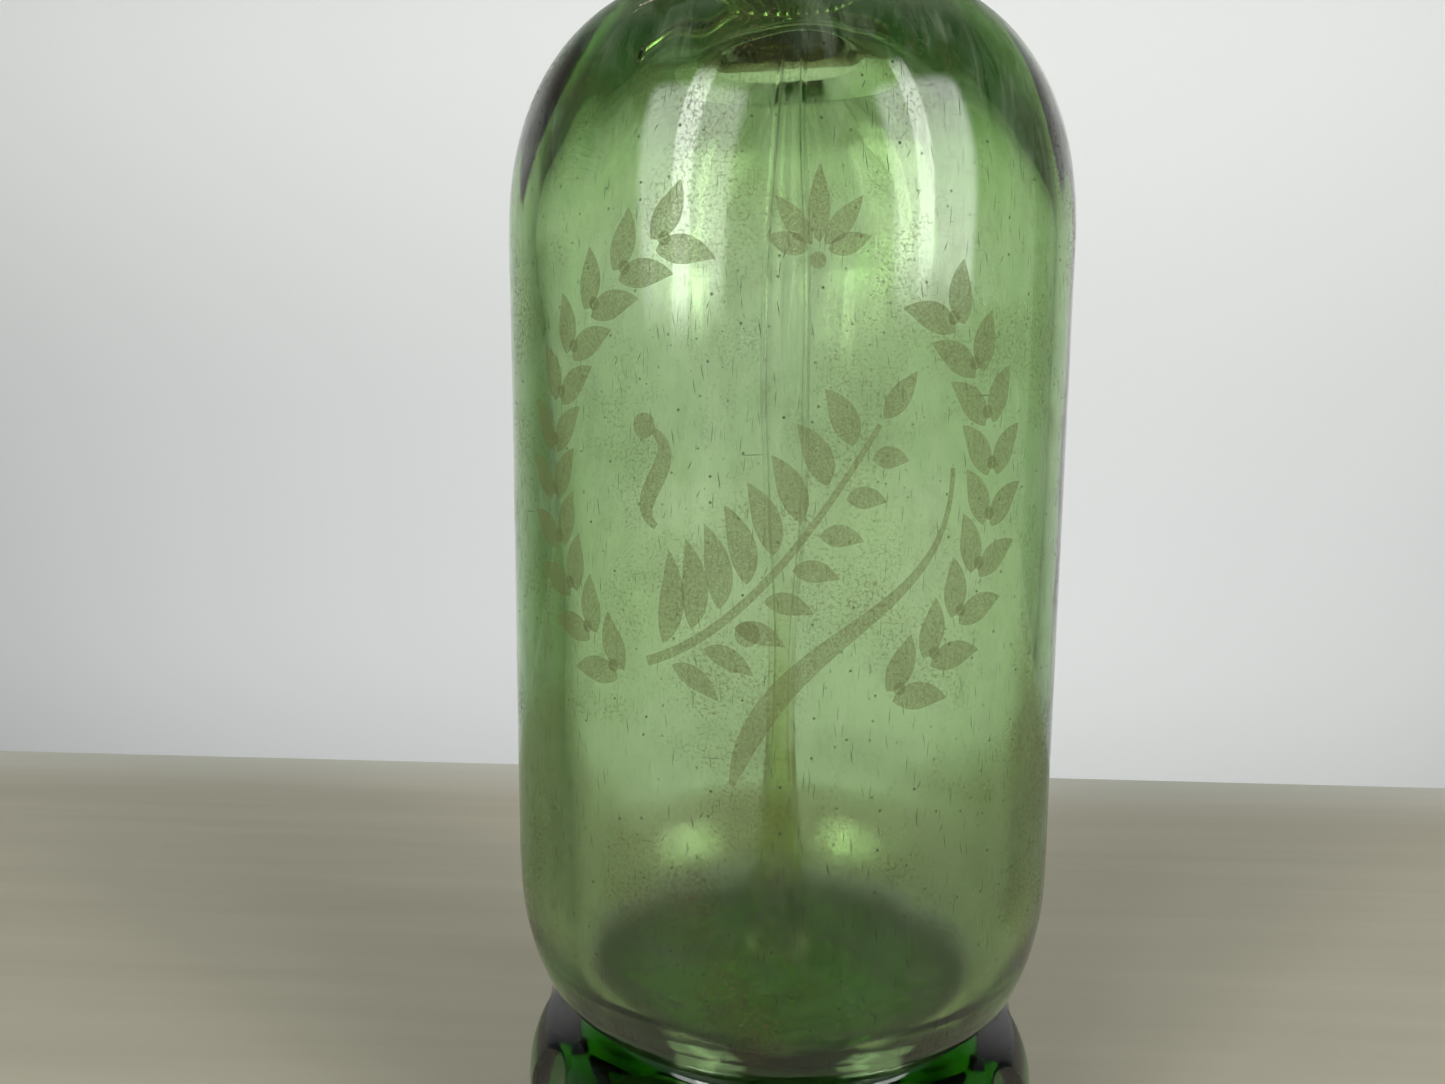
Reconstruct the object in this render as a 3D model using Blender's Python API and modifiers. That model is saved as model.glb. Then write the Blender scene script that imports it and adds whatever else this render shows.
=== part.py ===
"""Refillable glass soda siphon: bottle, dip tube and lever head.

The bottle stands on z = 0 with its axis on the world's Z axis. The spout points to -X and the
lever's thumb end to +X. Every piece is one closed solid. Threads are plain cylinders.
"""

from math import asin, cos, pi, radians, sin, sqrt, tau

import bmesh
import bpy
from mathutils import Matrix, Vector

MM = 0.001
GAP = 0.3 * MM                    # between two pieces that touch

# --- glass bottle ---------------------------------------------------------------------------
BODY_RADIUS = 48.0 * MM
BODY_STRAIGHT = 105.0 * MM        # straight side, between heel and shoulder
BODY_WALL = 4.6 * MM
SHOULDER_HEIGHT = 42.0 * MM
SHOULDER_FULLNESS = 2.3           # superellipse exponent of the shoulder's dome
HEEL_HEIGHT = 24.5 * MM
HEEL_FULLNESS = 2.1
FOOT_HEIGHT = 31.0 * MM
FOOT_BULGE = 9.0 * MM             # foot's widest radius beyond the waist
FOOT_INSET = 9.8 * MM             # waist radius inside the body radius
FOOT_FULLNESS = 2.2
WAIST_FILLET = 3.0 * MM
RING_WIDTH = 6.0 * MM             # flat ring that the bottle stands on
RING_INSET = 7.0 * MM             # outer edge of that ring inside the foot's widest radius
PUNT_DEPTH = 14.0 * MM
FLOOR_THICKNESS = 22.0 * MM       # glass between punt and inner floor, on the axis
FLOOR_DISH = 3.0 * MM             # how far the inner floor rises from the axis to its corner
NECK_WALL = 3.6 * MM
NECK_LENGTH = 16.7 * MM
NECK_FILLET = 4.0 * MM
BEAD_STEP = 3.0 * MM              # bead radius beyond the neck radius
BEAD_HEIGHT = 9.3 * MM
MOUTH_RADIUS = 10.5 * MM

# --- dip tube -------------------------------------------------------------------------------
TUBE_RADIUS = 3.0 * MM
TUBE_BORE_RADIUS = 1.3 * MM
TUBE_SWELL = 1.6 * MM             # extra radius where the drawn glass swells
TUBE_THIN = 0.7 * MM              # radius lost at its thinnest stretch
TUBE_BELL = 2.3 * MM              # extra radius of the trumpet end
TUBE_FLOOR_CLEARANCE = 5.0 * MM

# --- joint between glass and head -------------------------------------------------------------
GASKET_THICKNESS = 2.7 * MM
SPLIT_RING_HEIGHT = 7.4 * MM
SPLIT_RING_PARTING = 0.6 * MM
COLLAR_WALL = 3.0 * MM
COLLAR_FLANGE_THICKNESS = 3.1 * MM
COLLAR_TOP_LAP = 3.6 * MM         # how far the collar rises above the head flange's underside
SKIRT_WALL = 2.9 * MM
SKIRT_BEAD_CLEARANCE = 1.6 * MM   # skirt's lower end above the bead's underside

# --- head casting -----------------------------------------------------------------------------
FLANGE_THICKNESS = 4.7 * MM
BOSS_CLEARANCE = 0.4 * MM
BOSS_WALL = 2.5 * MM
BOSS_DROP = 8.0 * MM              # boss below the lip of the glass
COLUMN_RADIUS = 13.5 * MM
COLUMN_FILLET = 5.0 * MM
COLUMN_BEAD_STEP = 1.2 * MM       # turned bead above the fillet
COLUMN_BEAD_HEIGHT = 3.2 * MM
CHAMBER_RISE = 23.3 * MM          # inlet chamber's roof above the head flange's underside
OUTLET_RADIUS = 5.5 * MM
OUTLET_HEIGHT = 8.0 * MM
WEB_THICKNESS = 2.4 * MM
GLAND_RADIUS = 6.4 * MM
GLAND_DEPTH = 9.0 * MM

# --- inlet plug -------------------------------------------------------------------------------
PLUG_HEX_HEIGHT = 3.7 * MM
PLUG_BARREL_LENGTH = 13.3 * MM
PLUG_WALL = 1.7 * MM
BUSH_SOCKET_DEPTH = 8.3 * MM
BUSH_HEIGHT = 7.0 * MM
TUBE_PROUD = 1.2 * MM             # tube end above the bush

# --- valve ------------------------------------------------------------------------------------
STEM_RADIUS = 1.6 * MM
STEM_CLEARANCE = 0.4 * MM
STEM_COLLAR_STEP = 1.6 * MM
SEAT_THICKNESS = 3.0 * MM
SEAT_HOLE_RADIUS = 4.2 * MM
SEAT_LIP_HEIGHT = 1.8 * MM
SEAT_LIP_WIDTH = 0.9 * MM
SEAT_GASKET_THICKNESS = 1.0 * MM
SEAT_GASKET_WIDTH = 1.5 * MM
WASHER_THICKNESS = 3.0 * MM
CUP_CLEARANCE = 0.7 * MM          # water's way past the cup
CUP_FLOOR = 2.2 * MM
CUP_WALL = 0.7 * MM
CUP_RIM = 1.6 * MM                # cup wall beside the washer
VALVE_NUT_HEIGHT = 2.8 * MM
VALVE_NUT_FLATS = 5.6 * MM
STEM_TAIL = 0.7 * MM              # stem below the valve nut
SPRING_WIRE_RADIUS = 0.4 * MM
SPRING_TURNS = 4.5
SPRING_WALL_CLEARANCE = 0.8 * MM

# --- gland ------------------------------------------------------------------------------------
GLAND_WASHER_THICKNESS = 0.8 * MM
PACKING_HEIGHT = 3.0 * MM
GLAND_FLATS = 13.4 * MM
GLAND_HEX_HEIGHT = 3.7 * MM

# --- lever and cap ----------------------------------------------------------------------------
LEVER_SWING = radians(12.0)
CAP_STOP_CLEARANCE = 0.6 * MM     # between cap and gland nut with the lever fully down
CAP_RADIUS = 4.5 * MM
CAP_HEIGHT = 4.0 * MM
CAP_SOCKET_DEPTH = 2.4 * MM
EAR_RADIUS = 4.6 * MM
EAR_THICKNESS = 3.0 * MM
EAR_NUT_CLEARANCE = 0.8 * MM
EYE_RADIUS = 4.2 * MM
EYE_WIDTH = 8.0 * MM
NUB_RADIUS = 3.0 * MM
NUB_RISE = 1.3 * MM               # nub's centre above the pivot
LEVER_REACH = 56.0 * MM           # thumb end from the bottle's axis
LEVER_PAD_WIDTH = 17.0 * MM
PIN_RADIUS = 1.7 * MM
PIN_HEAD_RADIUS = 3.3 * MM
PIN_HEAD_HEIGHT = 1.8 * MM
PIN_SLOT_WIDTH = 0.9 * MM
PIN_TAIL = 0.6 * MM               # pin end beyond its nut
PIN_NUT_FLATS = 6.0 * MM
PIN_NUT_HEIGHT = 2.4 * MM

# --- spout ------------------------------------------------------------------------------------
SPOUT_REACH = 56.0 * MM           # spout tip from the bottle's axis
SPOUT_ROOT_RADIUS = 5.2 * MM
SPOUT_TIP_RADIUS = 4.0 * MM
SPOUT_RIM_STEP = 0.8 * MM
SPOUT_RIM_LENGTH = 2.6 * MM
SPOUT_BORE_RADIUS = 2.3 * MM
SPOUT_BEND_RADIUS = 17.0 * MM
SPOUT_BEND_ANGLE = radians(72.0)
SPOUT_TAIL = 10.0 * MM
SPOUT_SOCKET_DEPTH = 5.0 * MM
SPOUT_BOSS_WALL = 2.8 * MM
SPOUT_BOSS_LENGTH = 6.5 * MM      # boss beyond the column's surface

ROUND = 36                        # segments round the large turned pieces
SMALL_ROUND = 20                  # segments round the small ones

# --- radii that follow from the values above ----------------------------------------------------
WAIST_RADIUS = BODY_RADIUS - FOOT_INSET
FOOT_RADIUS = WAIST_RADIUS + FOOT_BULGE
RING_OUTER = FOOT_RADIUS - RING_INSET
RING_INNER = RING_OUTER - RING_WIDTH
NECK_RADIUS = MOUTH_RADIUS + NECK_WALL
BEAD_RADIUS = NECK_RADIUS + BEAD_STEP
BOSS_RADIUS = MOUTH_RADIUS - BOSS_CLEARANCE
CHAMBER_RADIUS = BOSS_RADIUS - BOSS_WALL
PLUG_RADIUS = CHAMBER_RADIUS - GAP
BUSH_SOCKET_RADIUS = PLUG_RADIUS - PLUG_WALL
TUBE_HOLE_RADIUS = TUBE_RADIUS + GAP
SKIRT_INNER = BEAD_RADIUS + GAP
SKIRT_OUTER = SKIRT_INNER + SKIRT_WALL
COLLAR_INNER = SKIRT_OUTER + GAP
COLLAR_OUTER = COLLAR_INNER + COLLAR_WALL
STEM_HOLE_RADIUS = STEM_RADIUS + STEM_CLEARANCE
CUP_RADIUS = CHAMBER_RADIUS - CUP_CLEARANCE
SPOUT_SOCKET_RADIUS = SPOUT_ROOT_RADIUS + GAP
SPOUT_BOSS_RADIUS = SPOUT_SOCKET_RADIUS + SPOUT_BOSS_WALL

# --- heights ------------------------------------------------------------------------------------
HEEL_TOP_Z = FOOT_HEIGHT + 2 * WAIST_FILLET + HEEL_HEIGHT
SHOULDER_Z = HEEL_TOP_Z + BODY_STRAIGHT
NECK_Z = SHOULDER_Z + SHOULDER_HEIGHT
BEAD_Z = NECK_Z + NECK_LENGTH
LIP_Z = BEAD_Z + BEAD_HEIGHT
FLOOR_Z = PUNT_DEPTH + FLOOR_THICKNESS
TUBE_END_Z = FLOOR_Z + TUBE_FLOOR_CLEARANCE

FLANGE_Z = LIP_Z + GASKET_THICKNESS + 2 * GAP
HEAD_SHOULDER_Z = FLANGE_Z + FLANGE_THICKNESS
BOSS_Z = LIP_Z - BOSS_DROP
CHAMBER_TOP_Z = FLANGE_Z + CHAMBER_RISE
WEB_Z = CHAMBER_TOP_Z + OUTLET_HEIGHT
GLAND_FLOOR_Z = WEB_Z + WEB_THICKNESS
COLUMN_TOP_Z = GLAND_FLOOR_Z + GLAND_DEPTH
SPOUT_Z = CHAMBER_TOP_Z + OUTLET_HEIGHT / 2

PLUG_TOP_Z = BOSS_Z - GAP + PLUG_BARREL_LENGTH
BUSH_Z = PLUG_TOP_Z - BUSH_SOCKET_DEPTH + GAP
TUBE_TOP_Z = BUSH_Z + BUSH_HEIGHT + TUBE_PROUD

SEAT_GASKET_Z = CHAMBER_TOP_Z - GAP - SEAT_GASKET_THICKNESS
SEAT_Z = SEAT_GASKET_Z - GAP - SEAT_THICKNESS
WASHER_TOP_Z = SEAT_Z - SEAT_LIP_HEIGHT - GAP
WASHER_Z = WASHER_TOP_Z - WASHER_THICKNESS
CUP_Z = WASHER_Z - GAP - CUP_FLOOR
VALVE_NUT_Z = CUP_Z - GAP - VALVE_NUT_HEIGHT
STEM_Z = VALVE_NUT_Z - STEM_TAIL

GLAND_WASHER_Z = GLAND_FLOOR_Z + GAP
PACKING_Z = GLAND_WASHER_Z + GLAND_WASHER_THICKNESS + GAP
GLAND_BARREL_Z = PACKING_Z + PACKING_HEIGHT + GAP
GLAND_HEX_Z = COLUMN_TOP_Z + GAP
GLAND_TOP_Z = GLAND_HEX_Z + GLAND_HEX_HEIGHT

PIVOT_OFFSET = GLAND_FLATS / 2 + EAR_NUT_CLEARANCE + EAR_RADIUS
VALVE_TRAVEL = PIVOT_OFFSET * LEVER_SWING
CAP_Z = GLAND_TOP_Z + VALVE_TRAVEL + CAP_STOP_CLEARANCE
CAP_TOP_Z = CAP_Z + CAP_HEIGHT
STEM_TOP_Z = CAP_Z + CAP_SOCKET_DEPTH - GAP
PIVOT_Z = CAP_TOP_Z + GAP + NUB_RADIUS - NUB_RISE
PIVOT = Vector((-PIVOT_OFFSET, 0.0, PIVOT_Z))
EAR_SPACING = EYE_WIDTH / 2 + GAP


# --- helpers --------------------------------------------------------------------------------------
def start_empty():
    for item in list(bpy.data.objects):
        bpy.data.objects.remove(item, do_unlink=True)


def new_collection(name):
    collection = bpy.data.collections.new(name)
    bpy.context.scene.collection.children.link(collection)
    return collection


def new_material(name, colour, roughness, metallic=0.0, transmission=0.0):
    material = bpy.data.materials.new(name)
    material.use_nodes = True
    shader = material.node_tree.nodes["Principled BSDF"]
    shader.inputs["Base Color"].default_value = (*colour, 1.0)
    shader.inputs["Roughness"].default_value = roughness
    shader.inputs["Metallic"].default_value = metallic
    shader.inputs["Transmission Weight"].default_value = transmission
    return material


def superellipse(centre, across, up, fullness, start, end, count):
    """Points on a quarter of a superellipse, from angle start to angle end."""
    points = []
    for i in range(count + 1):
        angle = start + (end - start) * i / count
        c, s = max(cos(angle), 0.0), sin(angle)
        side = abs(s) ** (2 / fullness) * (1 if s >= 0 else -1)
        points.append((centre[0] + across * c ** (2 / fullness), centre[1] + up * side))
    return points


def arc(centre, radius, start, end, count):
    """Points on a circle, from angle start to angle end in degrees."""
    angles = [radians(start + (end - start) * i / count) for i in range(count + 1)]
    return [(centre[0] + radius * cos(a), centre[1] + radius * sin(a)) for a in angles]


def smooth_step(x):
    x = min(max(x, 0.0), 1.0)
    return x * x * (3 - 2 * x)


def add_object(name, mesh, collection, material=None):
    item = bpy.data.objects.new(name, mesh)
    collection.objects.link(item)
    if material:
        mesh.materials.append(material)
    return item


def turned(name, profile, collection, material=None, segments=SMALL_ROUND, closed=False,
           origin_z=None):
    """A turned solid: (radius, height) points that run down its outer side.

    The object's origin lies on the axis, at the lowest point unless origin_z is given."""
    if origin_z is None:
        origin_z = min(z for r, z in profile)
    mesh = bpy.data.meshes.new(name)
    edges = [(i, i + 1) for i in range(len(profile) - 1)]
    if closed:
        edges.append((len(profile) - 1, 0))
    mesh.from_pydata([(r, 0.0, z - origin_z) for r, z in profile], edges, [])
    item = add_object(name, mesh, collection, material)
    item.location.z = origin_z
    screw = item.modifiers.new("turn", "SCREW")
    screw.axis = "Z"
    screw.angle = tau
    screw.steps = segments
    screw.render_steps = segments
    screw.use_merge_vertices = True
    screw.merge_threshold = 0.00001
    screw.use_smooth_shade = True
    return item


def ring(name, inner, outer, low, high, collection, material=None, segments=SMALL_ROUND):
    profile = [(inner, high), (outer, high), (outer, low), (inner, low)]
    return turned(name, profile, collection, material, segments, closed=True)


def chamfered_ring(name, inner, outer, low, high, chamfer, collection, material=None,
                   segments=SMALL_ROUND):
    profile = [(inner, high), (outer - chamfer, high), (outer, high - chamfer),
               (outer, low + chamfer), (outer - chamfer, low), (inner, low)]
    return turned(name, profile, collection, material, segments, closed=True)


def hexagon(name, flats, low, high, collection, material=None):
    """A hexagonal prism with two of its flats facing -X and +X."""
    item = rod(name, flats / sqrt(3), high - low, collection, material, segments=6)
    item.rotation_euler.z = pi / 6
    item.location.z = (low + high) / 2
    return item


def rod(name, radius, length, collection, material=None, segments=SMALL_ROUND):
    """A cylinder along Z, centred on its object's origin."""
    mesh = bpy.data.meshes.new(name)
    shape = bmesh.new()
    bmesh.ops.create_cone(shape, cap_ends=True, segments=segments, radius1=radius,
                          radius2=radius, depth=length)
    shape.to_mesh(mesh)
    shape.free()
    return add_object(name, mesh, collection, material)


def block(name, size, collection):
    mesh = bpy.data.meshes.new(name)
    shape = bmesh.new()
    bmesh.ops.create_cube(shape, size=1.0, matrix=Matrix.Diagonal((*size, 1.0)))
    shape.to_mesh(mesh)
    shape.free()
    return add_object(name, mesh, collection)


def mesh_from_curve(item, weld=0.00001):
    """Replaces a curve object with a closed mesh object of the same name and place."""
    bpy.context.view_layer.update()
    evaluated = item.evaluated_get(bpy.context.evaluated_depsgraph_get())
    mesh = bpy.data.meshes.new_from_object(evaluated)
    shape = bmesh.new()
    shape.from_mesh(mesh)
    bmesh.ops.remove_doubles(shape, verts=shape.verts, dist=weld)
    bmesh.ops.recalc_face_normals(shape, faces=shape.faces)
    shape.to_mesh(mesh)
    shape.free()
    name, place, collection = item.name, item.matrix_world.copy(), item.users_collection[0]
    curve = item.data
    bpy.data.objects.remove(item)
    bpy.data.curves.remove(curve)
    solid = add_object(name, mesh, collection)
    solid.matrix_world = place
    return solid


def plate(name, outline, thickness, collection, smooth=False, corners=()):
    """A flat outline with a thickness, in the local XY plane, centred on it.

    A smooth outline is rounded at every point but its corners, which are counted from 0."""
    curve = bpy.data.curves.new(name, "CURVE")
    curve.dimensions = "2D"
    curve.fill_mode = "BOTH"
    curve.extrude = thickness / 2
    spline = curve.splines.new("BEZIER" if smooth else "POLY")
    if smooth:
        spline.bezier_points.add(len(outline) - 1)
        spline.resolution_u = 5
        for i, (point, (x, y)) in enumerate(zip(spline.bezier_points, outline)):
            point.co = (x, y, 0.0)
            handle = "VECTOR" if i in corners else "AUTO"
            point.handle_left_type = point.handle_right_type = handle
    else:
        spline.points.add(len(outline) - 1)
        for point, (x, y) in zip(spline.points, outline):
            point.co = (x, y, 0.0, 1.0)
    spline.use_cyclic_u = True
    item = bpy.data.objects.new(name, curve)
    collection.objects.link(item)
    return mesh_from_curve(item)


def swept(name, path, radii, collection, sides=2):
    """A round bar along a path, with a radius at each point."""
    curve = bpy.data.curves.new(name, "CURVE")
    curve.dimensions = "3D"
    curve.bevel_depth = 1.0
    curve.bevel_resolution = sides
    curve.use_fill_caps = True
    spline = curve.splines.new("POLY")
    spline.points.add(len(path) - 1)
    for point, place, radius in zip(spline.points, path, radii):
        point.co = (*place, 1.0)
        point.radius = radius
    item = bpy.data.objects.new(name, curve)
    collection.objects.link(item)
    return item


def combine(item, other, operation):
    modifier = item.modifiers.new(f"{operation.lower()}_{other.name}", "BOOLEAN")
    modifier.operation = operation
    modifier.object = other
    modifier.solver = "EXACT"
    other.hide_render = True
    other.display_type = "WIRE"


def smooth_edges(item, angle=radians(35)):
    """Smooth shading with sharp edges where a turned or flat surface breaks."""
    for face in item.data.polygons:
        face.use_smooth = True
    item.data.set_sharp_from_angle(angle=angle)


def new_empty(name, place, collection):
    empty = bpy.data.objects.new(name, None)
    empty.empty_display_size = 5 * MM
    empty.location = place
    collection.objects.link(empty)
    return empty


def hang_on(empty, *items):
    """Parents pieces that stand at their world place to an empty that already has its own."""
    for item in items:
        item.parent = empty
        item.matrix_parent_inverse = Matrix.Translation(-empty.location)


# --- glass ----------------------------------------------------------------------------------------
def bottle_outside():
    """Outer outline of the glass from the lip down to the middle of the punt."""
    lip_round = 1.5 * MM
    points = arc((BEAD_RADIUS - lip_round, LIP_Z - lip_round), lip_round, 90, 0, 3)
    points += arc((BEAD_RADIUS - lip_round, BEAD_Z + lip_round), lip_round, 0, -90, 3)
    points.append((NECK_RADIUS, BEAD_Z))
    fillet_z = NECK_Z + NECK_FILLET
    points += arc((NECK_RADIUS + NECK_FILLET, fillet_z), NECK_FILLET, 180, 255, 4)
    dome_start = radians(76)
    points += superellipse((NECK_RADIUS, SHOULDER_Z), BODY_RADIUS - NECK_RADIUS,
                           SHOULDER_HEIGHT, SHOULDER_FULLNESS, dome_start, 0.0, 10)
    points += superellipse((WAIST_RADIUS, HEEL_TOP_Z), BODY_RADIUS - WAIST_RADIUS,
                           HEEL_HEIGHT, HEEL_FULLNESS, 0.0, radians(-88), 7)
    waist_z = FOOT_HEIGHT + WAIST_FILLET
    points += arc((WAIST_RADIUS, waist_z), WAIST_FILLET, 140, 220, 3)
    foot_middle = FOOT_HEIGHT * 0.55
    points += superellipse((WAIST_RADIUS, foot_middle), FOOT_BULGE, FOOT_HEIGHT - foot_middle,
                           FOOT_FULLNESS, radians(80), 0.0, 5)
    points += superellipse((RING_OUTER, foot_middle), RING_INSET, foot_middle, FOOT_FULLNESS,
                           0.0, radians(-90), 4)[1:]
    sag = (RING_INNER ** 2 + PUNT_DEPTH ** 2) / (2 * PUNT_DEPTH)
    edge = asin(RING_INNER / sag)
    for i in range(6):
        angle = edge * (1 - i / 5)
        points.append((sag * sin(angle), PUNT_DEPTH - sag + sag * cos(angle)))
    return points


def bottle_inside():
    """Inner outline of the glass from the middle of the floor up to the mouth."""
    inner_radius = BODY_RADIUS - BODY_WALL
    corner = HEEL_HEIGHT - BODY_WALL
    corner_z = FLOOR_Z + FLOOR_DISH + corner
    floor_radius = inner_radius - corner * 0.45
    points = []
    for i in range(4):
        share = i / 4
        points.append((floor_radius * share, FLOOR_Z + FLOOR_DISH * share ** 2))
    points += superellipse((floor_radius, corner_z), inner_radius - floor_radius, corner,
                           HEEL_FULLNESS, radians(-90), 0.0, 6)
    points += superellipse((MOUTH_RADIUS, SHOULDER_Z), inner_radius - MOUTH_RADIUS,
                           SHOULDER_HEIGHT - BODY_WALL, SHOULDER_FULLNESS, 0.0, radians(76), 8)
    throat = NECK_WALL + NECK_FILLET
    points += arc((MOUTH_RADIUS + throat, NECK_Z + NECK_FILLET), throat, 240, 180, 4)
    mouth_chamfer = 0.6 * MM
    points.append((MOUTH_RADIUS, LIP_Z - mouth_chamfer))
    points.append((MOUTH_RADIUS + mouth_chamfer, LIP_Z))
    return points


def make_glass_bottle(parts, glass):
    profile = bottle_inside() + bottle_outside()
    return turned("glass_bottle", profile, parts, glass, ROUND)


def tube_radius(z):
    """Outer radius of the drawn tube: a swelling above a thin stretch above a trumpet end."""
    length = TUBE_TOP_Z - TUBE_END_Z
    share = (z - TUBE_END_Z) / length
    swell = TUBE_SWELL * (smooth_step((share - 0.28) / 0.24) - smooth_step((share - 0.56) / 0.26))
    thin = TUBE_THIN * (smooth_step((share - 0.12) / 0.12) - smooth_step((share - 0.26) / 0.14))
    bell = TUBE_BELL * (1 - smooth_step(share / 0.2)) ** 1.5
    return TUBE_RADIUS + swell - thin + bell


def make_dip_tube(parts, glass):
    count = 16
    heights = [TUBE_TOP_Z - (TUBE_TOP_Z - TUBE_END_Z) * i / count for i in range(count + 1)]
    outer = [(tube_radius(z), z) for z in heights]
    bell_height = (TUBE_TOP_Z - TUBE_END_Z) * 0.12
    inner = []
    for z in reversed(heights):
        flare = TUBE_BELL * (1 - smooth_step((z - TUBE_END_Z) / bell_height)) ** 1.5
        inner.append((TUBE_BORE_RADIUS + flare, z))
    return turned("dip_tube", outer + inner, parts, glass, 16, closed=True)


# --- joint between glass and head -----------------------------------------------------------------
def make_collar(parts, brass):
    low = BEAD_Z - GAP - SPLIT_RING_HEIGHT - GAP - COLLAR_FLANGE_THICKNESS
    high = FLANGE_Z + COLLAR_TOP_LAP
    flange_top = low + COLLAR_FLANGE_THICKNESS
    chamfer = 0.8 * MM
    profile = [(COLLAR_INNER, high), (COLLAR_OUTER - chamfer, high),
               (COLLAR_OUTER, high - chamfer), (COLLAR_OUTER, low + chamfer),
               (COLLAR_OUTER - chamfer, low), (BEAD_RADIUS + GAP, low),
               (BEAD_RADIUS + GAP, flange_top), (COLLAR_INNER, flange_top)]
    return turned("collar_nut", profile, parts, brass, ROUND, closed=True)


def make_split_ring(parts, cutters, brass):
    high = BEAD_Z - GAP
    low = high - SPLIT_RING_HEIGHT
    halves = []
    for name, side in (("split_ring_left", -1), ("split_ring_right", 1)):
        half = ring(name, NECK_RADIUS + GAP, COLLAR_INNER - GAP, low, high, parts, brass, ROUND)
        width = 2 * COLLAR_OUTER
        cutter = block(f"{name}_parting", (width, width, 3 * SPLIT_RING_HEIGHT), cutters)
        cutter.location = (-side * (width / 2 - SPLIT_RING_PARTING / 2), 0.0, (low + high) / 2)
        combine(half, cutter, "DIFFERENCE")
        halves.append(half)
    return halves


def make_mouth_gasket(parts, rubber):
    low = LIP_Z + GAP
    return ring("mouth_gasket", MOUTH_RADIUS + GAP, BEAD_RADIUS - GAP, low,
                low + GASKET_THICKNESS, parts, rubber, ROUND)


# --- head casting ---------------------------------------------------------------------------------
def head_outline():
    """Outside of the casting, then its bore from below to the gland's mouth."""
    chamfer = 1.5 * MM
    top = [(GLAND_RADIUS, COLUMN_TOP_Z), (COLUMN_RADIUS - chamfer, COLUMN_TOP_Z),
           (COLUMN_RADIUS, COLUMN_TOP_Z - chamfer)]
    bead_low = HEAD_SHOULDER_Z + COLUMN_FILLET
    bead_high = bead_low + COLUMN_BEAD_HEIGHT
    bead_radius = COLUMN_RADIUS + COLUMN_BEAD_STEP
    bead_side = COLUMN_BEAD_HEIGHT / 4
    bead = [(COLUMN_RADIUS, bead_high), (bead_radius, bead_high - bead_side),
            (bead_radius, bead_low + bead_side)]
    fillet = arc((COLUMN_RADIUS + COLUMN_FILLET, HEAD_SHOULDER_Z + COLUMN_FILLET),
                 COLUMN_FILLET, 180, 270, 4)
    flange = [(SKIRT_OUTER, HEAD_SHOULDER_Z - chamfer),
              (SKIRT_OUTER, BEAD_Z + SKIRT_BEAD_CLEARANCE),
              (SKIRT_INNER, BEAD_Z + SKIRT_BEAD_CLEARANCE), (SKIRT_INNER, FLANGE_Z)]
    boss = [(BOSS_RADIUS, FLANGE_Z), (BOSS_RADIUS, BOSS_Z), (CHAMBER_RADIUS, BOSS_Z)]
    bore = [(CHAMBER_RADIUS, CHAMBER_TOP_Z), (OUTLET_RADIUS, CHAMBER_TOP_Z),
            (OUTLET_RADIUS, WEB_Z), (STEM_HOLE_RADIUS, WEB_Z),
            (STEM_HOLE_RADIUS, GLAND_FLOOR_Z), (GLAND_RADIUS, GLAND_FLOOR_Z)]
    return top + bead + fillet + flange + boss + bore


def ear_outline():
    """Side of one lever ear about the pivot: a round top on a foot that sinks in the boss."""
    foot = SPOUT_Z + SPOUT_BOSS_RADIUS / 4 - PIVOT_Z
    return [(EAR_RADIUS, foot)] + arc((0.0, 0.0), EAR_RADIUS, 0, 180, 10) + [(-EAR_RADIUS, foot)]


def make_head_body(parts, cutters, brass):
    body = turned("head_body", head_outline(), parts, brass, ROUND, closed=True)
    boss_face = COLUMN_RADIUS + SPOUT_BOSS_LENGTH
    boss_root = (OUTLET_RADIUS + COLUMN_RADIUS) / 2
    boss = rod("spout_boss", SPOUT_BOSS_RADIUS, boss_face - boss_root, cutters)
    boss.rotation_euler = (0.0, pi / 2, 0.0)
    boss.location = (-(boss_face + boss_root) / 2, 0.0, SPOUT_Z)
    combine(body, boss, "UNION")
    for name, side in (("ear_front", -1), ("ear_back", 1)):
        ear = plate(name, ear_outline(), EAR_THICKNESS, cutters)
        ear.rotation_euler = (pi / 2, 0.0, 0.0)
        ear.location = PIVOT + Vector((0.0, side * (EAR_SPACING + EAR_THICKNESS / 2), 0.0))
        combine(body, ear, "UNION")
    socket_floor = boss_face - SPOUT_SOCKET_DEPTH
    socket = rod("spout_socket", SPOUT_SOCKET_RADIUS, 2 * SPOUT_SOCKET_DEPTH, cutters)
    socket.rotation_euler = (0.0, pi / 2, 0.0)
    socket.location = (-boss_face, 0.0, SPOUT_Z)
    combine(body, socket, "DIFFERENCE")
    port = rod("spout_port", SPOUT_BORE_RADIUS, socket_floor, cutters, segments=16)
    port.rotation_euler = (0.0, pi / 2, 0.0)
    port.location = (-socket_floor / 2 - OUTLET_RADIUS / 2, 0.0, SPOUT_Z)
    combine(body, port, "DIFFERENCE")
    hole = rod("pin_hole", PIN_RADIUS + GAP, 4 * EYE_WIDTH, cutters)
    hole.rotation_euler = (pi / 2, 0.0, 0.0)
    hole.location = PIVOT
    combine(body, hole, "DIFFERENCE")
    return body


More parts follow.
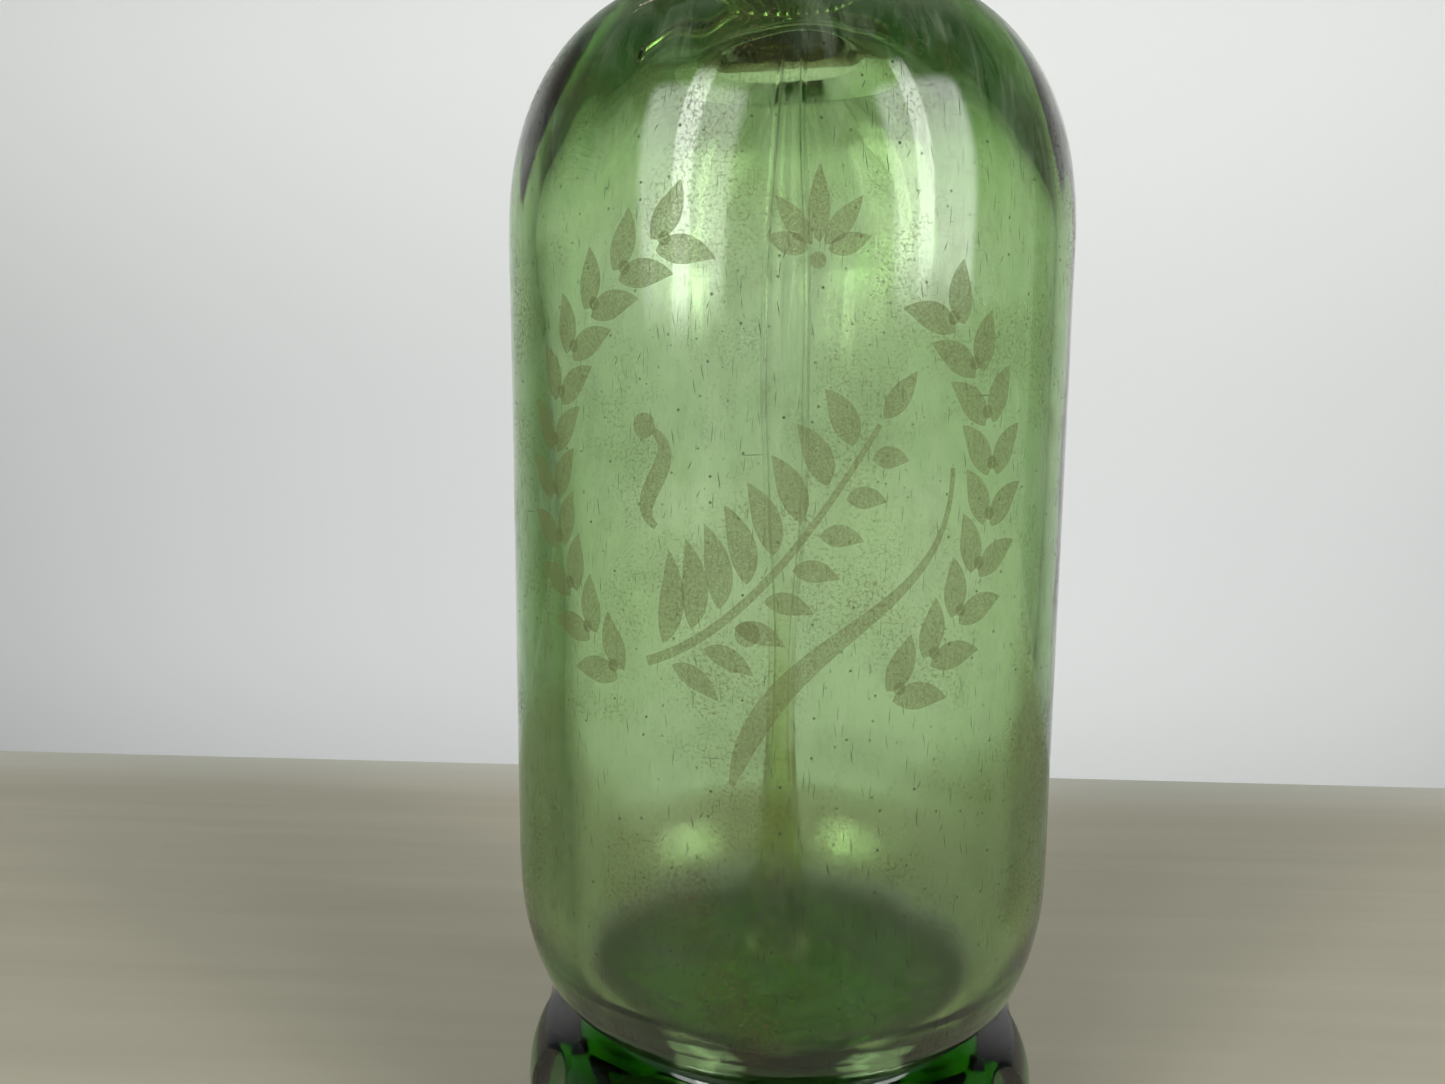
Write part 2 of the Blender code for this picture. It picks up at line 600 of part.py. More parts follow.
# --- inlet plug -----------------------------------------------------------------------------------
def make_tube_nut(parts, cutters, brass):
    hex_middle = BOSS_Z - GAP - PLUG_HEX_HEIGHT / 2
    outline = [(0.0, PLUG_TOP_Z), (PLUG_RADIUS, PLUG_TOP_Z), (PLUG_RADIUS, hex_middle),
               (0.0, hex_middle)]
    plug = turned("tube_nut", outline, parts, brass)
    head_flats = (BOSS_RADIUS - GAP) * sqrt(3)
    head = hexagon("tube_nut_head", head_flats, BOSS_Z - GAP - PLUG_HEX_HEIGHT, BOSS_Z - GAP,
                   cutters)
    combine(plug, head, "UNION")
    socket_floor = PLUG_TOP_Z - BUSH_SOCKET_DEPTH
    low, high = BOSS_Z - 2 * PLUG_HEX_HEIGHT, PLUG_TOP_Z + PLUG_HEX_HEIGHT
    bore = turned("tube_nut_bore", [(0.0, high), (BUSH_SOCKET_RADIUS, high),
                                    (BUSH_SOCKET_RADIUS, socket_floor),
                                    (TUBE_HOLE_RADIUS, socket_floor), (TUBE_HOLE_RADIUS, low),
                                    (0.0, low)], cutters)
    combine(plug, bore, "DIFFERENCE")
    return plug


def make_tube_bushing(parts, rubber):
    return chamfered_ring("tube_bushing", TUBE_HOLE_RADIUS, BUSH_SOCKET_RADIUS - GAP, BUSH_Z,
                          BUSH_Z + BUSH_HEIGHT, 0.5 * MM, parts, rubber)


# --- valve ----------------------------------------------------------------------------------------
def make_valve_seat(parts, brass):
    lip = SEAT_HOLE_RADIUS + SEAT_LIP_WIDTH
    top = SEAT_Z + SEAT_THICKNESS
    outline = [(SEAT_HOLE_RADIUS, top), (PLUG_RADIUS, top), (PLUG_RADIUS, SEAT_Z),
               (lip, SEAT_Z), (lip, SEAT_Z - SEAT_LIP_HEIGHT),
               (SEAT_HOLE_RADIUS, SEAT_Z - SEAT_LIP_HEIGHT)]
    return turned("valve_seat", outline, parts, brass, closed=True)


def make_seat_gasket(parts, fibre):
    return ring("seat_gasket", PLUG_RADIUS - SEAT_GASKET_WIDTH, PLUG_RADIUS, SEAT_GASKET_Z,
                SEAT_GASKET_Z + SEAT_GASKET_THICKNESS, parts, fibre)


def make_valve_stem(parts, brass):
    collar = STEM_RADIUS + STEM_COLLAR_STEP
    collar_low = WASHER_TOP_Z + GAP
    collar_high = collar_low + SEAT_LIP_HEIGHT
    outline = [(0.0, STEM_TOP_Z), (STEM_RADIUS, STEM_TOP_Z), (STEM_RADIUS, collar_high),
               (collar, collar_high), (collar, collar_low), (STEM_RADIUS, collar_low),
               (STEM_RADIUS, STEM_Z), (0.0, STEM_Z)]
    return turned("valve_stem", outline, parts, brass)


def make_valve_cup(parts, brass):
    rim = WASHER_Z + CUP_RIM
    floor = CUP_Z + CUP_FLOOR
    outline = [(CUP_RADIUS - CUP_WALL, rim), (CUP_RADIUS, rim), (CUP_RADIUS, CUP_Z),
               (STEM_RADIUS + GAP, CUP_Z), (STEM_RADIUS + GAP, floor),
               (CUP_RADIUS - CUP_WALL, floor)]
    return turned("valve_cup", outline, parts, brass, closed=True)


def make_valve_washer(parts, rubber):
    return ring("valve_washer", STEM_RADIUS + GAP, CUP_RADIUS - CUP_WALL - GAP, WASHER_Z,
                WASHER_TOP_Z, parts, rubber)


def make_valve_nut(parts, cutters, brass):
    nut = hexagon("valve_nut", VALVE_NUT_FLATS, VALVE_NUT_Z, VALVE_NUT_Z + VALVE_NUT_HEIGHT,
                  parts, brass)
    hole = rod("valve_nut_hole", STEM_RADIUS + GAP, 4 * VALVE_NUT_HEIGHT, cutters)
    hole.location = (0.0, 0.0, VALVE_NUT_Z)
    combine(nut, hole, "DIFFERENCE")
    return nut


def make_return_spring(parts, steel):
    low = PLUG_TOP_Z + GAP + SPRING_WIRE_RADIUS
    high = CUP_Z - GAP - SPRING_WIRE_RADIUS
    radius = CHAMBER_RADIUS - SPRING_WALL_CLEARANCE - SPRING_WIRE_RADIUS
    per_turn = 14
    count = int(per_turn * SPRING_TURNS)
    path = []
    for i in range(count + 1):
        angle = tau * i / per_turn
        path.append((radius * cos(angle), radius * sin(angle), low + (high - low) * i / count))
    spring = swept("return_spring", path, [SPRING_WIRE_RADIUS] * len(path), parts)
    spring.data.materials.append(steel)
    return spring


# --- gland ----------------------------------------------------------------------------------------
def make_gland(parts, cutters, brass, rubber):
    washer = ring("gland_washer", STEM_HOLE_RADIUS, GLAND_RADIUS - GAP, GLAND_WASHER_Z,
                  GLAND_WASHER_Z + GLAND_WASHER_THICKNESS, parts, brass)
    packing = ring("packing_ring", STEM_RADIUS + GAP, GLAND_RADIUS - GAP, PACKING_Z,
                   PACKING_Z + PACKING_HEIGHT, parts, rubber)
    nut = turned("gland_nut", [(0.0, GLAND_HEX_Z + GLAND_HEX_HEIGHT / 2),
                               (GLAND_RADIUS - GAP, GLAND_HEX_Z + GLAND_HEX_HEIGHT / 2),
                               (GLAND_RADIUS - GAP, GLAND_BARREL_Z), (0.0, GLAND_BARREL_Z)],
                 parts, brass)
    head = hexagon("gland_nut_head", GLAND_FLATS, GLAND_HEX_Z, GLAND_TOP_Z, cutters)
    combine(nut, head, "UNION")
    hole = rod("gland_nut_hole", STEM_HOLE_RADIUS, 6 * GLAND_HEX_HEIGHT, cutters)
    hole.location = (0.0, 0.0, GLAND_HEX_Z)
    combine(nut, hole, "DIFFERENCE")
    return washer, packing, nut


# --- lever, cap and pin ---------------------------------------------------------------------------
def make_stem_cap(parts, brass):
    socket = STEM_RADIUS + GAP
    roof = CAP_Z + CAP_SOCKET_DEPTH
    round_off = 1.2 * MM
    crown = arc((CAP_RADIUS - round_off, CAP_TOP_Z - round_off), round_off, 90, 0, 4)
    outline = [(0.0, CAP_TOP_Z)] + crown + [(CAP_RADIUS, CAP_Z), (socket, CAP_Z),
                                            (socket, roof), (0.0, roof)]
    return turned("stem_cap", outline, parts, brass)


def lever_side(length):
    """Side view of the arm about the pivot: x along it, y up, a crest and a long falling tail."""
    top = [(-0.02, 0.6), (0.10, 0.98), (0.24, 1.24), (0.42, 1.05), (0.62, 0.30), (0.82, -0.62),
           (0.95, -1.22), (1.0, -1.60)]
    bottom = [(0.975, -2.02), (0.82, -1.62), (0.62, -0.66), (0.42, 0.18), (0.28, 0.34),
              (0.14, 0.02), (0.04, -0.5)]
    return [(length * x, EYE_RADIUS * y) for x, y in top + bottom]


def lever_plan(length):
    """Half widths of the arm along its length, closed into an outline seen from above."""
    half = LEVER_PAD_WIDTH / 2
    neck = EYE_WIDTH / 2
    stations = [(-0.06, neck), (0.12, neck), (0.24, neck * 1.2), (0.40, neck * 0.95),
                (0.62, half * 0.72), (0.80, half), (0.93, half * 0.86), (0.99, half * 0.45)]
    front = [(length * x, y) for x, y in stations]
    back = [(x, -y) for x, y in reversed(front)]
    return front + [(length, 0.0)] + back


def make_lever(parts, cutters, brass):
    length = LEVER_REACH + PIVOT_OFFSET
    lever = plate("lever", lever_side(length), 2 * LEVER_PAD_WIDTH, parts, smooth=True)
    lever.data.materials.append(brass)
    lever.rotation_euler = (pi / 2, 0.0, 0.0)
    lever.location = PIVOT
    outline = lever_plan(length)
    plan = plate("lever_plan", outline, 12 * EYE_RADIUS, cutters, smooth=True,
                 corners=(0, len(outline) - 1))
    plan.location = PIVOT
    combine(lever, plan, "INTERSECT")
    eye = rod("lever_eye", EYE_RADIUS, EYE_WIDTH, cutters)
    eye.rotation_euler = (pi / 2, 0.0, 0.0)
    eye.location = PIVOT
    combine(lever, eye, "UNION")
    nub = rod("lever_nub", NUB_RADIUS, EYE_WIDTH * 0.9, cutters)
    nub.rotation_euler = (pi / 2, 0.0, 0.0)
    nub.location = PIVOT + Vector((PIVOT_OFFSET, 0.0, NUB_RISE))
    combine(lever, nub, "UNION")
    hole = rod("lever_pin_hole", PIN_RADIUS + GAP, 4 * EYE_WIDTH, cutters)
    hole.rotation_euler = (pi / 2, 0.0, 0.0)
    hole.location = PIVOT
    combine(lever, hole, "DIFFERENCE")
    return lever


def make_lever_pin(parts, cutters, steel):
    """Slotted screw along Y: local +Z is its head and points to -Y."""
    head_low = EAR_SPACING + EAR_THICKNESS + GAP
    head_high = head_low + PIN_HEAD_HEIGHT
    tail = -(head_low + PIN_NUT_HEIGHT + PIN_TAIL)
    crown = arc((PIN_HEAD_RADIUS - PIN_HEAD_HEIGHT / 2, head_high - PIN_HEAD_HEIGHT / 2),
                PIN_HEAD_HEIGHT / 2, 90, 0, 3)
    outline = [(0.0, head_high)] + crown + [(PIN_HEAD_RADIUS, head_low), (PIN_RADIUS, head_low),
                                            (PIN_RADIUS, tail), (0.0, tail)]
    pin = turned("lever_pin", outline, parts, steel, origin_z=0.0)
    pin.rotation_euler = (pi / 2, 0.0, 0.0)
    pin.location = PIVOT
    slot = block("pin_slot", (4 * PIN_HEAD_RADIUS, PIN_HEAD_HEIGHT, PIN_SLOT_WIDTH), cutters)
    slot.location = PIVOT - Vector((0.0, head_high, 0.0))
    combine(pin, slot, "DIFFERENCE")
    return pin


def make_lever_pin_nut(parts, cutters, steel):
    low = EAR_SPACING + EAR_THICKNESS + GAP
    nut = rod("lever_pin_nut", PIN_NUT_FLATS / sqrt(3), PIN_NUT_HEIGHT, parts, steel, segments=6)
    nut.rotation_euler = (pi / 2, 0.0, 0.0)
    nut.location = PIVOT + Vector((0.0, low + PIN_NUT_HEIGHT / 2, 0.0))
    hole = rod("lever_pin_nut_hole", PIN_RADIUS + GAP, 6 * EYE_WIDTH, cutters)
    hole.rotation_euler = (pi / 2, 0.0, 0.0)
    hole.location = PIVOT
    combine(nut, hole, "DIFFERENCE")
    return nut


# --- spout ----------------------------------------------------------------------------------------
def spout_path():
    """Centre line from the socket's floor out to the tip, and the outer radius at each point."""
    start = COLUMN_RADIUS + SPOUT_BOSS_LENGTH - SPOUT_SOCKET_DEPTH + GAP
    down = SPOUT_BEND_ANGLE
    rim = SPOUT_TIP_RADIUS + SPOUT_RIM_STEP
    bend_start = SPOUT_REACH - rim * sin(down) - SPOUT_BEND_RADIUS * sin(down) - SPOUT_TAIL * cos(down)
    path = [(-start, SPOUT_Z), (-(start + bend_start) / 2, SPOUT_Z)]
    for i in range(9):
        angle = down * i / 8
        path.append((-bend_start - SPOUT_BEND_RADIUS * sin(angle),
                     SPOUT_Z - SPOUT_BEND_RADIUS * (1 - cos(angle))))
    end = path[-1]
    path.append((end[0] - SPOUT_TAIL * cos(down), end[1] - SPOUT_TAIL * sin(down)))
    count = len(path) - 1
    radii = []
    for i in range(count + 1):
        share = smooth_step(i / count)
        radii.append(SPOUT_ROOT_RADIUS + (SPOUT_TIP_RADIUS - SPOUT_ROOT_RADIUS) * share)
    return [Vector((x, 0.0, z)) for x, z in path], radii


def make_spout(parts, cutters, brass):
    path, radii = spout_path()
    spout = mesh_from_curve(swept("spout", path, radii, parts, sides=8))
    spout.data.materials.append(brass)
    tip, before = path[-1], path[-2]
    along = (tip - before).normalized()
    rim = swept("spout_rim", [tip - along * SPOUT_RIM_LENGTH, tip + along * GAP],
                [SPOUT_TIP_RADIUS + SPOUT_RIM_STEP] * 2, cutters, sides=8)
    combine(spout, mesh_from_curve(rim), "UNION")
    inside = [path[0] - (path[1] - path[0]).normalized() * SPOUT_ROOT_RADIUS] + path[1:-1]
    inside.append(tip + along * SPOUT_ROOT_RADIUS)
    bore = swept("spout_bore", inside, [SPOUT_BORE_RADIUS] * len(inside), cutters, sides=4)
    combine(spout, mesh_from_curve(bore), "DIFFERENCE")
    return spout


# --- assembly -------------------------------------------------------------------------------------
def build():
    start_empty()
    parts = new_collection("soda_siphon")
    cutters = new_collection("cutters")
    green_glass = new_material("green_glass", (0.17, 0.42, 0.16), 0.03, transmission=1.0)
    clear_glass = new_material("clear_glass", (0.62, 0.74, 0.55), 0.03, transmission=1.0)
    plated = new_material("plated_brass", (0.62, 0.60, 0.56), 0.28, metallic=1.0)
    brass = new_material("brass", (0.66, 0.48, 0.22), 0.32, metallic=1.0)
    steel = new_material("spring_steel", (0.55, 0.55, 0.56), 0.25, metallic=1.0)
    rubber = new_material("black_rubber", (0.03, 0.03, 0.03), 0.7)
    fibre = new_material("red_fibre", (0.28, 0.08, 0.05), 0.8)

    make_glass_bottle(parts, green_glass)
    make_dip_tube(parts, clear_glass)
    make_mouth_gasket(parts, rubber)
    make_split_ring(parts, cutters, brass)
    make_collar(parts, plated)
    make_head_body(parts, cutters, plated)
    make_tube_nut(parts, cutters, brass)
    make_tube_bushing(parts, rubber)
    make_valve_seat(parts, brass)
    make_seat_gasket(parts, fibre)
    make_return_spring(parts, steel)
    make_gland(parts, cutters, plated, rubber)
    make_spout(parts, cutters, plated)
    make_lever_pin(parts, cutters, steel)
    make_lever_pin_nut(parts, cutters, steel)

    valve_axis = new_empty("valve_axis", (0.0, 0.0, CUP_Z), parts)
    hang_on(valve_axis, make_valve_stem(parts, brass), make_valve_cup(parts, brass),
            make_valve_washer(parts, rubber), make_valve_nut(parts, cutters, brass),
            make_stem_cap(parts, plated))
    lever_pivot = new_empty("lever_pivot", PIVOT, parts)
    hang_on(lever_pivot, make_lever(parts, cutters, plated))

    for item in parts.objects:
        if item.type == "MESH":
            smooth_edges(item)


build()
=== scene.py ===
"""Refillable soda siphon: thick green glass bottle with an acid-etched ornament, a drawn glass
dip tube that shows through it, and a worn nickel-plated head with lever, valve and spout.

The bottle's axis is the world's Z axis and it stands on z = 0. Outlines are in millimetres and
each finished mesh is scaled to metres.
"""

from math import asin, atan2, cos, hypot, pi, radians, sin, sqrt, tau

import bmesh
import bpy
from mathutils import Matrix, Vector, noise


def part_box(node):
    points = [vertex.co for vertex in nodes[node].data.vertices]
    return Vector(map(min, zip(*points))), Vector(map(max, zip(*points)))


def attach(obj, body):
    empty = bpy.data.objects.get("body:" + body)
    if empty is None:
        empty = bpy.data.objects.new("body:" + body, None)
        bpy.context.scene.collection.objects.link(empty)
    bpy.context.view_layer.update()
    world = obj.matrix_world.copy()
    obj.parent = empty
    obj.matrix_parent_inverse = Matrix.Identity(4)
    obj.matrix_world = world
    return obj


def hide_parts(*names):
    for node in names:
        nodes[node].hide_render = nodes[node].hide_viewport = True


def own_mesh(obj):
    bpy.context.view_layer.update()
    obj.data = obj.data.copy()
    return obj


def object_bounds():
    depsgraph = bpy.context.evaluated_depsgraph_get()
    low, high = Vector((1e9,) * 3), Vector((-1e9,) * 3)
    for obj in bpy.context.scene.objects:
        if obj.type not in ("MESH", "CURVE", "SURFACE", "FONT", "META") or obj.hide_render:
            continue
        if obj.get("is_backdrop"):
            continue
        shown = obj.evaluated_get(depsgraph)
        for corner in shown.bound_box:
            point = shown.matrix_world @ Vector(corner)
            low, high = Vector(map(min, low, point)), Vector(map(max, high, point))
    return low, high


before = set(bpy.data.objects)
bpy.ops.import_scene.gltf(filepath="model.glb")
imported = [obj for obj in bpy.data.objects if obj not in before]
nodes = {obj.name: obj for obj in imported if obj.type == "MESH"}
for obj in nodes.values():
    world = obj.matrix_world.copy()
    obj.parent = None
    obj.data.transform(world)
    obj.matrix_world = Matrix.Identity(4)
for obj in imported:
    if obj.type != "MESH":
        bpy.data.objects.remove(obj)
cad_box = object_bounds()
scene = bpy.context.scene


# --- Camera ------------------------------------------------------------------------------------
# A wide lens close to the bottle at half its height, turned a little to the left of the axis,
# tipped down and slightly rolled. It frames the body, with the head above and the foot below.
camera_data = bpy.data.cameras.new("camera")
camera_data.sensor_width = 36.0
camera_data.lens = 27.03
camera_data.clip_start = 0.01
camera = bpy.data.objects.new("camera", camera_data)
scene.collection.objects.link(camera)
TURN_LEFT = radians(3.28)
TIP_DOWN = radians(7.76)
ROLL = radians(0.36)
camera.matrix_world = (Matrix.Translation((0.0, -0.1949, 0.143))
                       @ Matrix.Rotation(TURN_LEFT, 4, "Z")
                       @ Matrix.Rotation(pi / 2 - TIP_DOWN, 4, "X")
                       @ Matrix.Rotation(ROLL, 4, "Z"))
scene.camera = camera


# --- Table and wall ----------------------------------------------------------------------------
# A matt laminate table top, faintly grained, with its far edge a hand's width behind the bottle,
# and a painted wall some way beyond, whose colour also carries painted light and shade. Both are
# plain and pale, so nothing competes with the glass.
def linear(hex_colour):
    """An sRGB colour such as #C8C0B0 as linear RGBA."""
    levels = [int(hex_colour[i:i + 2], 16) / 255 for i in (1, 3, 5)]
    return [v / 12.92 if v <= 0.04045 else ((v + 0.055) / 1.055) ** 2.4 for v in levels] + [1.0]


def add_node(tree, kind, inputs=None, **settings):
    """A shader node with its settings; an input is given a value or another node's output."""
    node = tree.nodes.new(kind)
    for name, value in settings.items():
        setattr(node, name, value)
    for name, value in (inputs or {}).items():
        if isinstance(value, bpy.types.NodeSocket):
            tree.links.new(value, node.inputs[name])
        else:
            node.inputs[name].default_value = value
    return node


def new_material(name):
    """A material with its node tree, Principled shader and output."""
    material = bpy.data.materials.new(name)
    material.use_nodes = True
    tree = material.node_tree
    return material, tree, tree.nodes["Principled BSDF"], tree.nodes["Material Output"]


def make_piece(shape, name, material, unit=0.001, sharp=None):
    """Turns a bmesh into an object, with its place in its mesh and smooth faces."""
    bmesh.ops.scale(shape, vec=(unit, unit, unit), verts=shape.verts)
    mesh = bpy.data.meshes.new(name)
    shape.to_mesh(mesh)
    shape.free()
    mesh.shade_smooth()
    if sharp:
        mesh.set_sharp_from_angle(angle=radians(sharp))
    mesh.materials.append(material)
    piece = bpy.data.objects.new(name, mesh)
    scene.collection.objects.link(piece)
    return piece


laminate, tree, shader, output = new_material("matt_laminate")
place = add_node(tree, "ShaderNodeTexCoord").outputs["Object"]
depth = add_node(tree, "ShaderNodeSeparateXYZ", {"Vector": place}).outputs["Y"]
pale = add_node(tree, "ShaderNodeMapRange", {"Value": depth, "From Min": 0.165, "From Max": 0.206,
                                             "To Max": 0.4}, interpolation_type="SMOOTHSTEP")
grain = add_node(tree, "ShaderNodeMapping", {"Vector": place, "Scale": (2.0, 30.0, 1.0)})
streaks = add_node(tree, "ShaderNodeTexNoise", {"Vector": grain.outputs["Vector"], "Scale": 3.0,
                                                "Detail": 4.0})
wood = add_node(tree, "ShaderNodeMix", {"Factor": streaks.outputs["Fac"], "A": linear("#9F9787"),
                                        "B": linear("#B4AC9C")}, data_type="RGBA")
tone = add_node(tree, "ShaderNodeMix", {"Factor": pale.outputs["Result"],
                                        "A": wood.outputs["Result"], "B": linear("#D8D8D4")},
                data_type="RGBA")
tree.links.new(tone.outputs["Result"], shader.inputs["Base Color"])
shader.inputs["Roughness"].default_value = 0.6

wall_with_painted_light, tree, shader, output = new_material("wall_with_painted_light")
shader.inputs["Roughness"].default_value = 0.9
place = add_node(tree, "ShaderNodeTexCoord").outputs["Object"]
across = add_node(tree, "ShaderNodeSeparateXYZ", {"Vector": place})
# Painted light and shade on the wall: its colour grows brighter to the right and up to 0.6 m, as if the
# windows lit it, and darker above 0.65 m and far out to either side.
colour = linear("#DEDFDF")
far_out = add_node(tree, "ShaderNodeMath", {0: across.outputs["X"]}, operation="ABSOLUTE")
for value, low, high, most, over in ((across.outputs["X"], -0.9, 0.9, 1.0, "#E8E9E8"),
                                     (across.outputs["Z"], 0.1, 0.6, 0.9, "#F6F7F6"),
                                     (across.outputs["Z"], 0.65, 1.25, 1.0, "#7E8080"),
                                     (far_out.outputs["Value"], 1.0, 2.4, 0.8, "#747676")):
    amount = add_node(tree, "ShaderNodeMapRange", {"Value": value, "From Min": low,
                                                   "From Max": high, "To Max": most},
                      interpolation_type="SMOOTHSTEP")
    colour = add_node(tree, "ShaderNodeMix", {"Factor": amount.outputs["Result"], "A": colour,
                                              "B": linear(over)}, data_type="RGBA").outputs["Result"]
tree.links.new(colour, shader.inputs["Base Color"])

TABLE_EDGE = 0.206
slab = bmesh.new()
bmesh.ops.create_cube(slab, size=1.0)
bmesh.ops.scale(slab, vec=(5.0, 3.0, 0.04), verts=slab.verts)
bmesh.ops.translate(slab, vec=(0.0, TABLE_EDGE - 1.5, -0.02), verts=slab.verts)
make_piece(slab, "table_top", laminate, unit=1.0, sharp=30)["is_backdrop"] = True

wall_face = bmesh.new()
bmesh.ops.create_grid(wall_face, x_segments=1, y_segments=1, size=3.5)
bmesh.ops.rotate(wall_face, matrix=Matrix.Rotation(pi / 2, 3, "X"), verts=wall_face.verts)
bmesh.ops.scale(wall_face, vec=(1.0, 1.0, 0.5), verts=wall_face.verts)
bmesh.ops.translate(wall_face, vec=(0.0, 1.1, -0.45), verts=wall_face.verts)
make_piece(wall_face, "wall", wall_with_painted_light, unit=1.0)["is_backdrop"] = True


# --- Light -------------------------------------------------------------------------------------
# Soft daylight from a pale room, with two tall windows in front of the bottle. They stand as
# upright reflections on the left and right of the glass. The ceiling and the space between the
# windows are dim, which keeps the glass deep green at its shoulder and foot.
world = bpy.data.worlds.new("pale_room")
world.use_nodes = True
tree = world.node_tree
direction = add_node(tree, "ShaderNodeTexCoord").outputs["Generated"]
height = add_node(tree, "ShaderNodeSeparateXYZ", {"Vector": direction}).outputs["Z"]
front = add_node(tree, "ShaderNodeSeparateXYZ", {"Vector": direction}).outputs["Y"]
colour = linear("#949696")
for value, low, high, over in ((height, 0.15, 0.6, "#586A58"), (front, -0.6, -0.95, "#3E4040")):
    amount = add_node(tree, "ShaderNodeMapRange", {"Value": value, "From Min": low, "From Max": high},
                      interpolation_type="SMOOTHSTEP")
    colour = add_node(tree, "ShaderNodeMix", {"Factor": amount.outputs["Result"], "A": colour,
                                              "B": linear(over)}, data_type="RGBA").outputs["Result"]
tree.links.new(colour, tree.nodes["Background"].inputs["Color"])
scene.world = world

AIM = Vector((0.0, 0.0, 0.16))


def add_window(name, azimuth, elevation, distance, width, height, power):
    """An upright light with soft edges, placed round the bottle from the front, facing it."""
    light = bpy.data.lights.new(name, "AREA")
    light.shape = "RECTANGLE"
    light.size = width
    light.size_y = height
    light.energy = power
    light.use_nodes = True
    tree = light.node_tree
    across_pane = add_node(tree, "ShaderNodeNewGeometry").outputs["Parametric"]
    edge = add_node(tree, "ShaderNodeSeparateXYZ", {"Vector": across_pane})
    fade = None
    for axis in ("X", "Y"):
        middle = add_node(tree, "ShaderNodeMath", {0: edge.outputs[axis], 1: 0.5}, operation="SUBTRACT")
        off = add_node(tree, "ShaderNodeMath", {0: middle.outputs["Value"]}, operation="ABSOLUTE")
        soft = add_node(tree, "ShaderNodeMapRange", {"Value": off.outputs["Value"], "From Min": 0.5,
                                                     "From Max": 0.36}, interpolation_type="SMOOTHSTEP")
        fade = add_node(tree, "ShaderNodeMath", {0: soft.outputs["Result"],
                                                 1: fade.outputs["Value"] if fade else 1.3},
                        operation="MULTIPLY")
    tree.links.new(fade.outputs["Value"], tree.nodes["Emission"].inputs["Strength"])
    lamp = bpy.data.objects.new(name, light)
    across, up = radians(azimuth), radians(elevation)
    lamp.location = AIM + distance * Vector((sin(across) * cos(up), -cos(across) * cos(up), sin(up)))
    lamp.rotation_euler = (lamp.location - AIM).to_track_quat("Z", "Y").to_euler()
    scene.collection.objects.link(lamp)


add_window("window_left", -40, 24, 1.5, 1.05, 1.2, 16.5)
add_window("window_right", 56, 24, 1.5, 1.05, 1.2, 17.5)
add_window("sky_left", -40, 26, 1.4, 0.2, 1.3, 4.6)
add_window("sky_right", 52, 28, 1.4, 0.18, 1.3, 3.5)

wash = bpy.data.lights.new("wall_wash", "AREA")
wash.shape = "RECTANGLE"
wash.size = 1.8
wash.size_y = 0.3
wash.energy = 2.1
wash_lamp = bpy.data.objects.new("wall_wash", wash)
wash_lamp.location = (-0.05, 0.5, -0.35)
wash_lamp.rotation_euler = (Vector((0.0, -0.6, -0.62))).to_track_quat("Z", "Y").to_euler()
scene.collection.objects.link(wash_lamp)

scene.view_settings.view_transform = "Standard"
scene.cycles.max_bounces = 24
scene.cycles.transmission_bounces = 24
scene.cycles.glossy_bounces = 8
scene.cycles.transparent_max_bounces = 16


# --- Glass bottle ------------------------------------------------------------------------------
# Blown into a mould from iron-green bottle glass: thick walls, a heavy floor, a waist and a
# foot with twelve pressed scoops. The inside was shaped by air alone, so it is wavy.
BODY_RADIUS = 48.0
SHOULDER_Z = 166.5
SHOULDER_HEIGHT = 42.0
SHOULDER_FULLNESS = 2.3
NECK_RADIUS = 14.1
MOUTH_RADIUS = 10.5
WAIST_RADIUS = 38.2
FOOT_RADIUS = 47.2
FOOT_MIDDLE = 17.05
HEEL_TOP_Z = 61.5
FLOOR_Z = 34.0
LIP_Z = 234.5
SCOOPS = 12
STEPS_ROUND = 28 * SCOOPS
OUTSIDE_WAVE = 0.16


def arc(centre, radius, start, end, count):
    """Points on a circle, from angle start to angle end in degrees."""
    angles = [radians(start + (end - start) * i / count) for i in range(count + 1)]
    return [(centre[0] + radius * cos(a), centre[1] + radius * sin(a)) for a in angles]


def superellipse(centre, across, up, fullness, start, end, count):
    """Points on a quarter of a superellipse, from angle start to angle end in degrees."""
    points = []
    for i in range(count + 1):
        angle = radians(start + (end - start) * i / count)
        c, s = max(cos(angle), 0.0), sin(angle)
        side = abs(s) ** (2 / fullness) * (1 if s >= 0 else -1)
        points.append((centre[0] + across * c ** (2 / fullness), centre[1] + up * side))
    return points


def straight(start, end, count):
    """Points between two points of an outline, without the ends."""
    return [(start[0] + (end[0] - start[0]) * i / count, start[1] + (end[1] - start[1]) * i / count)
            for i in range(1, count)]


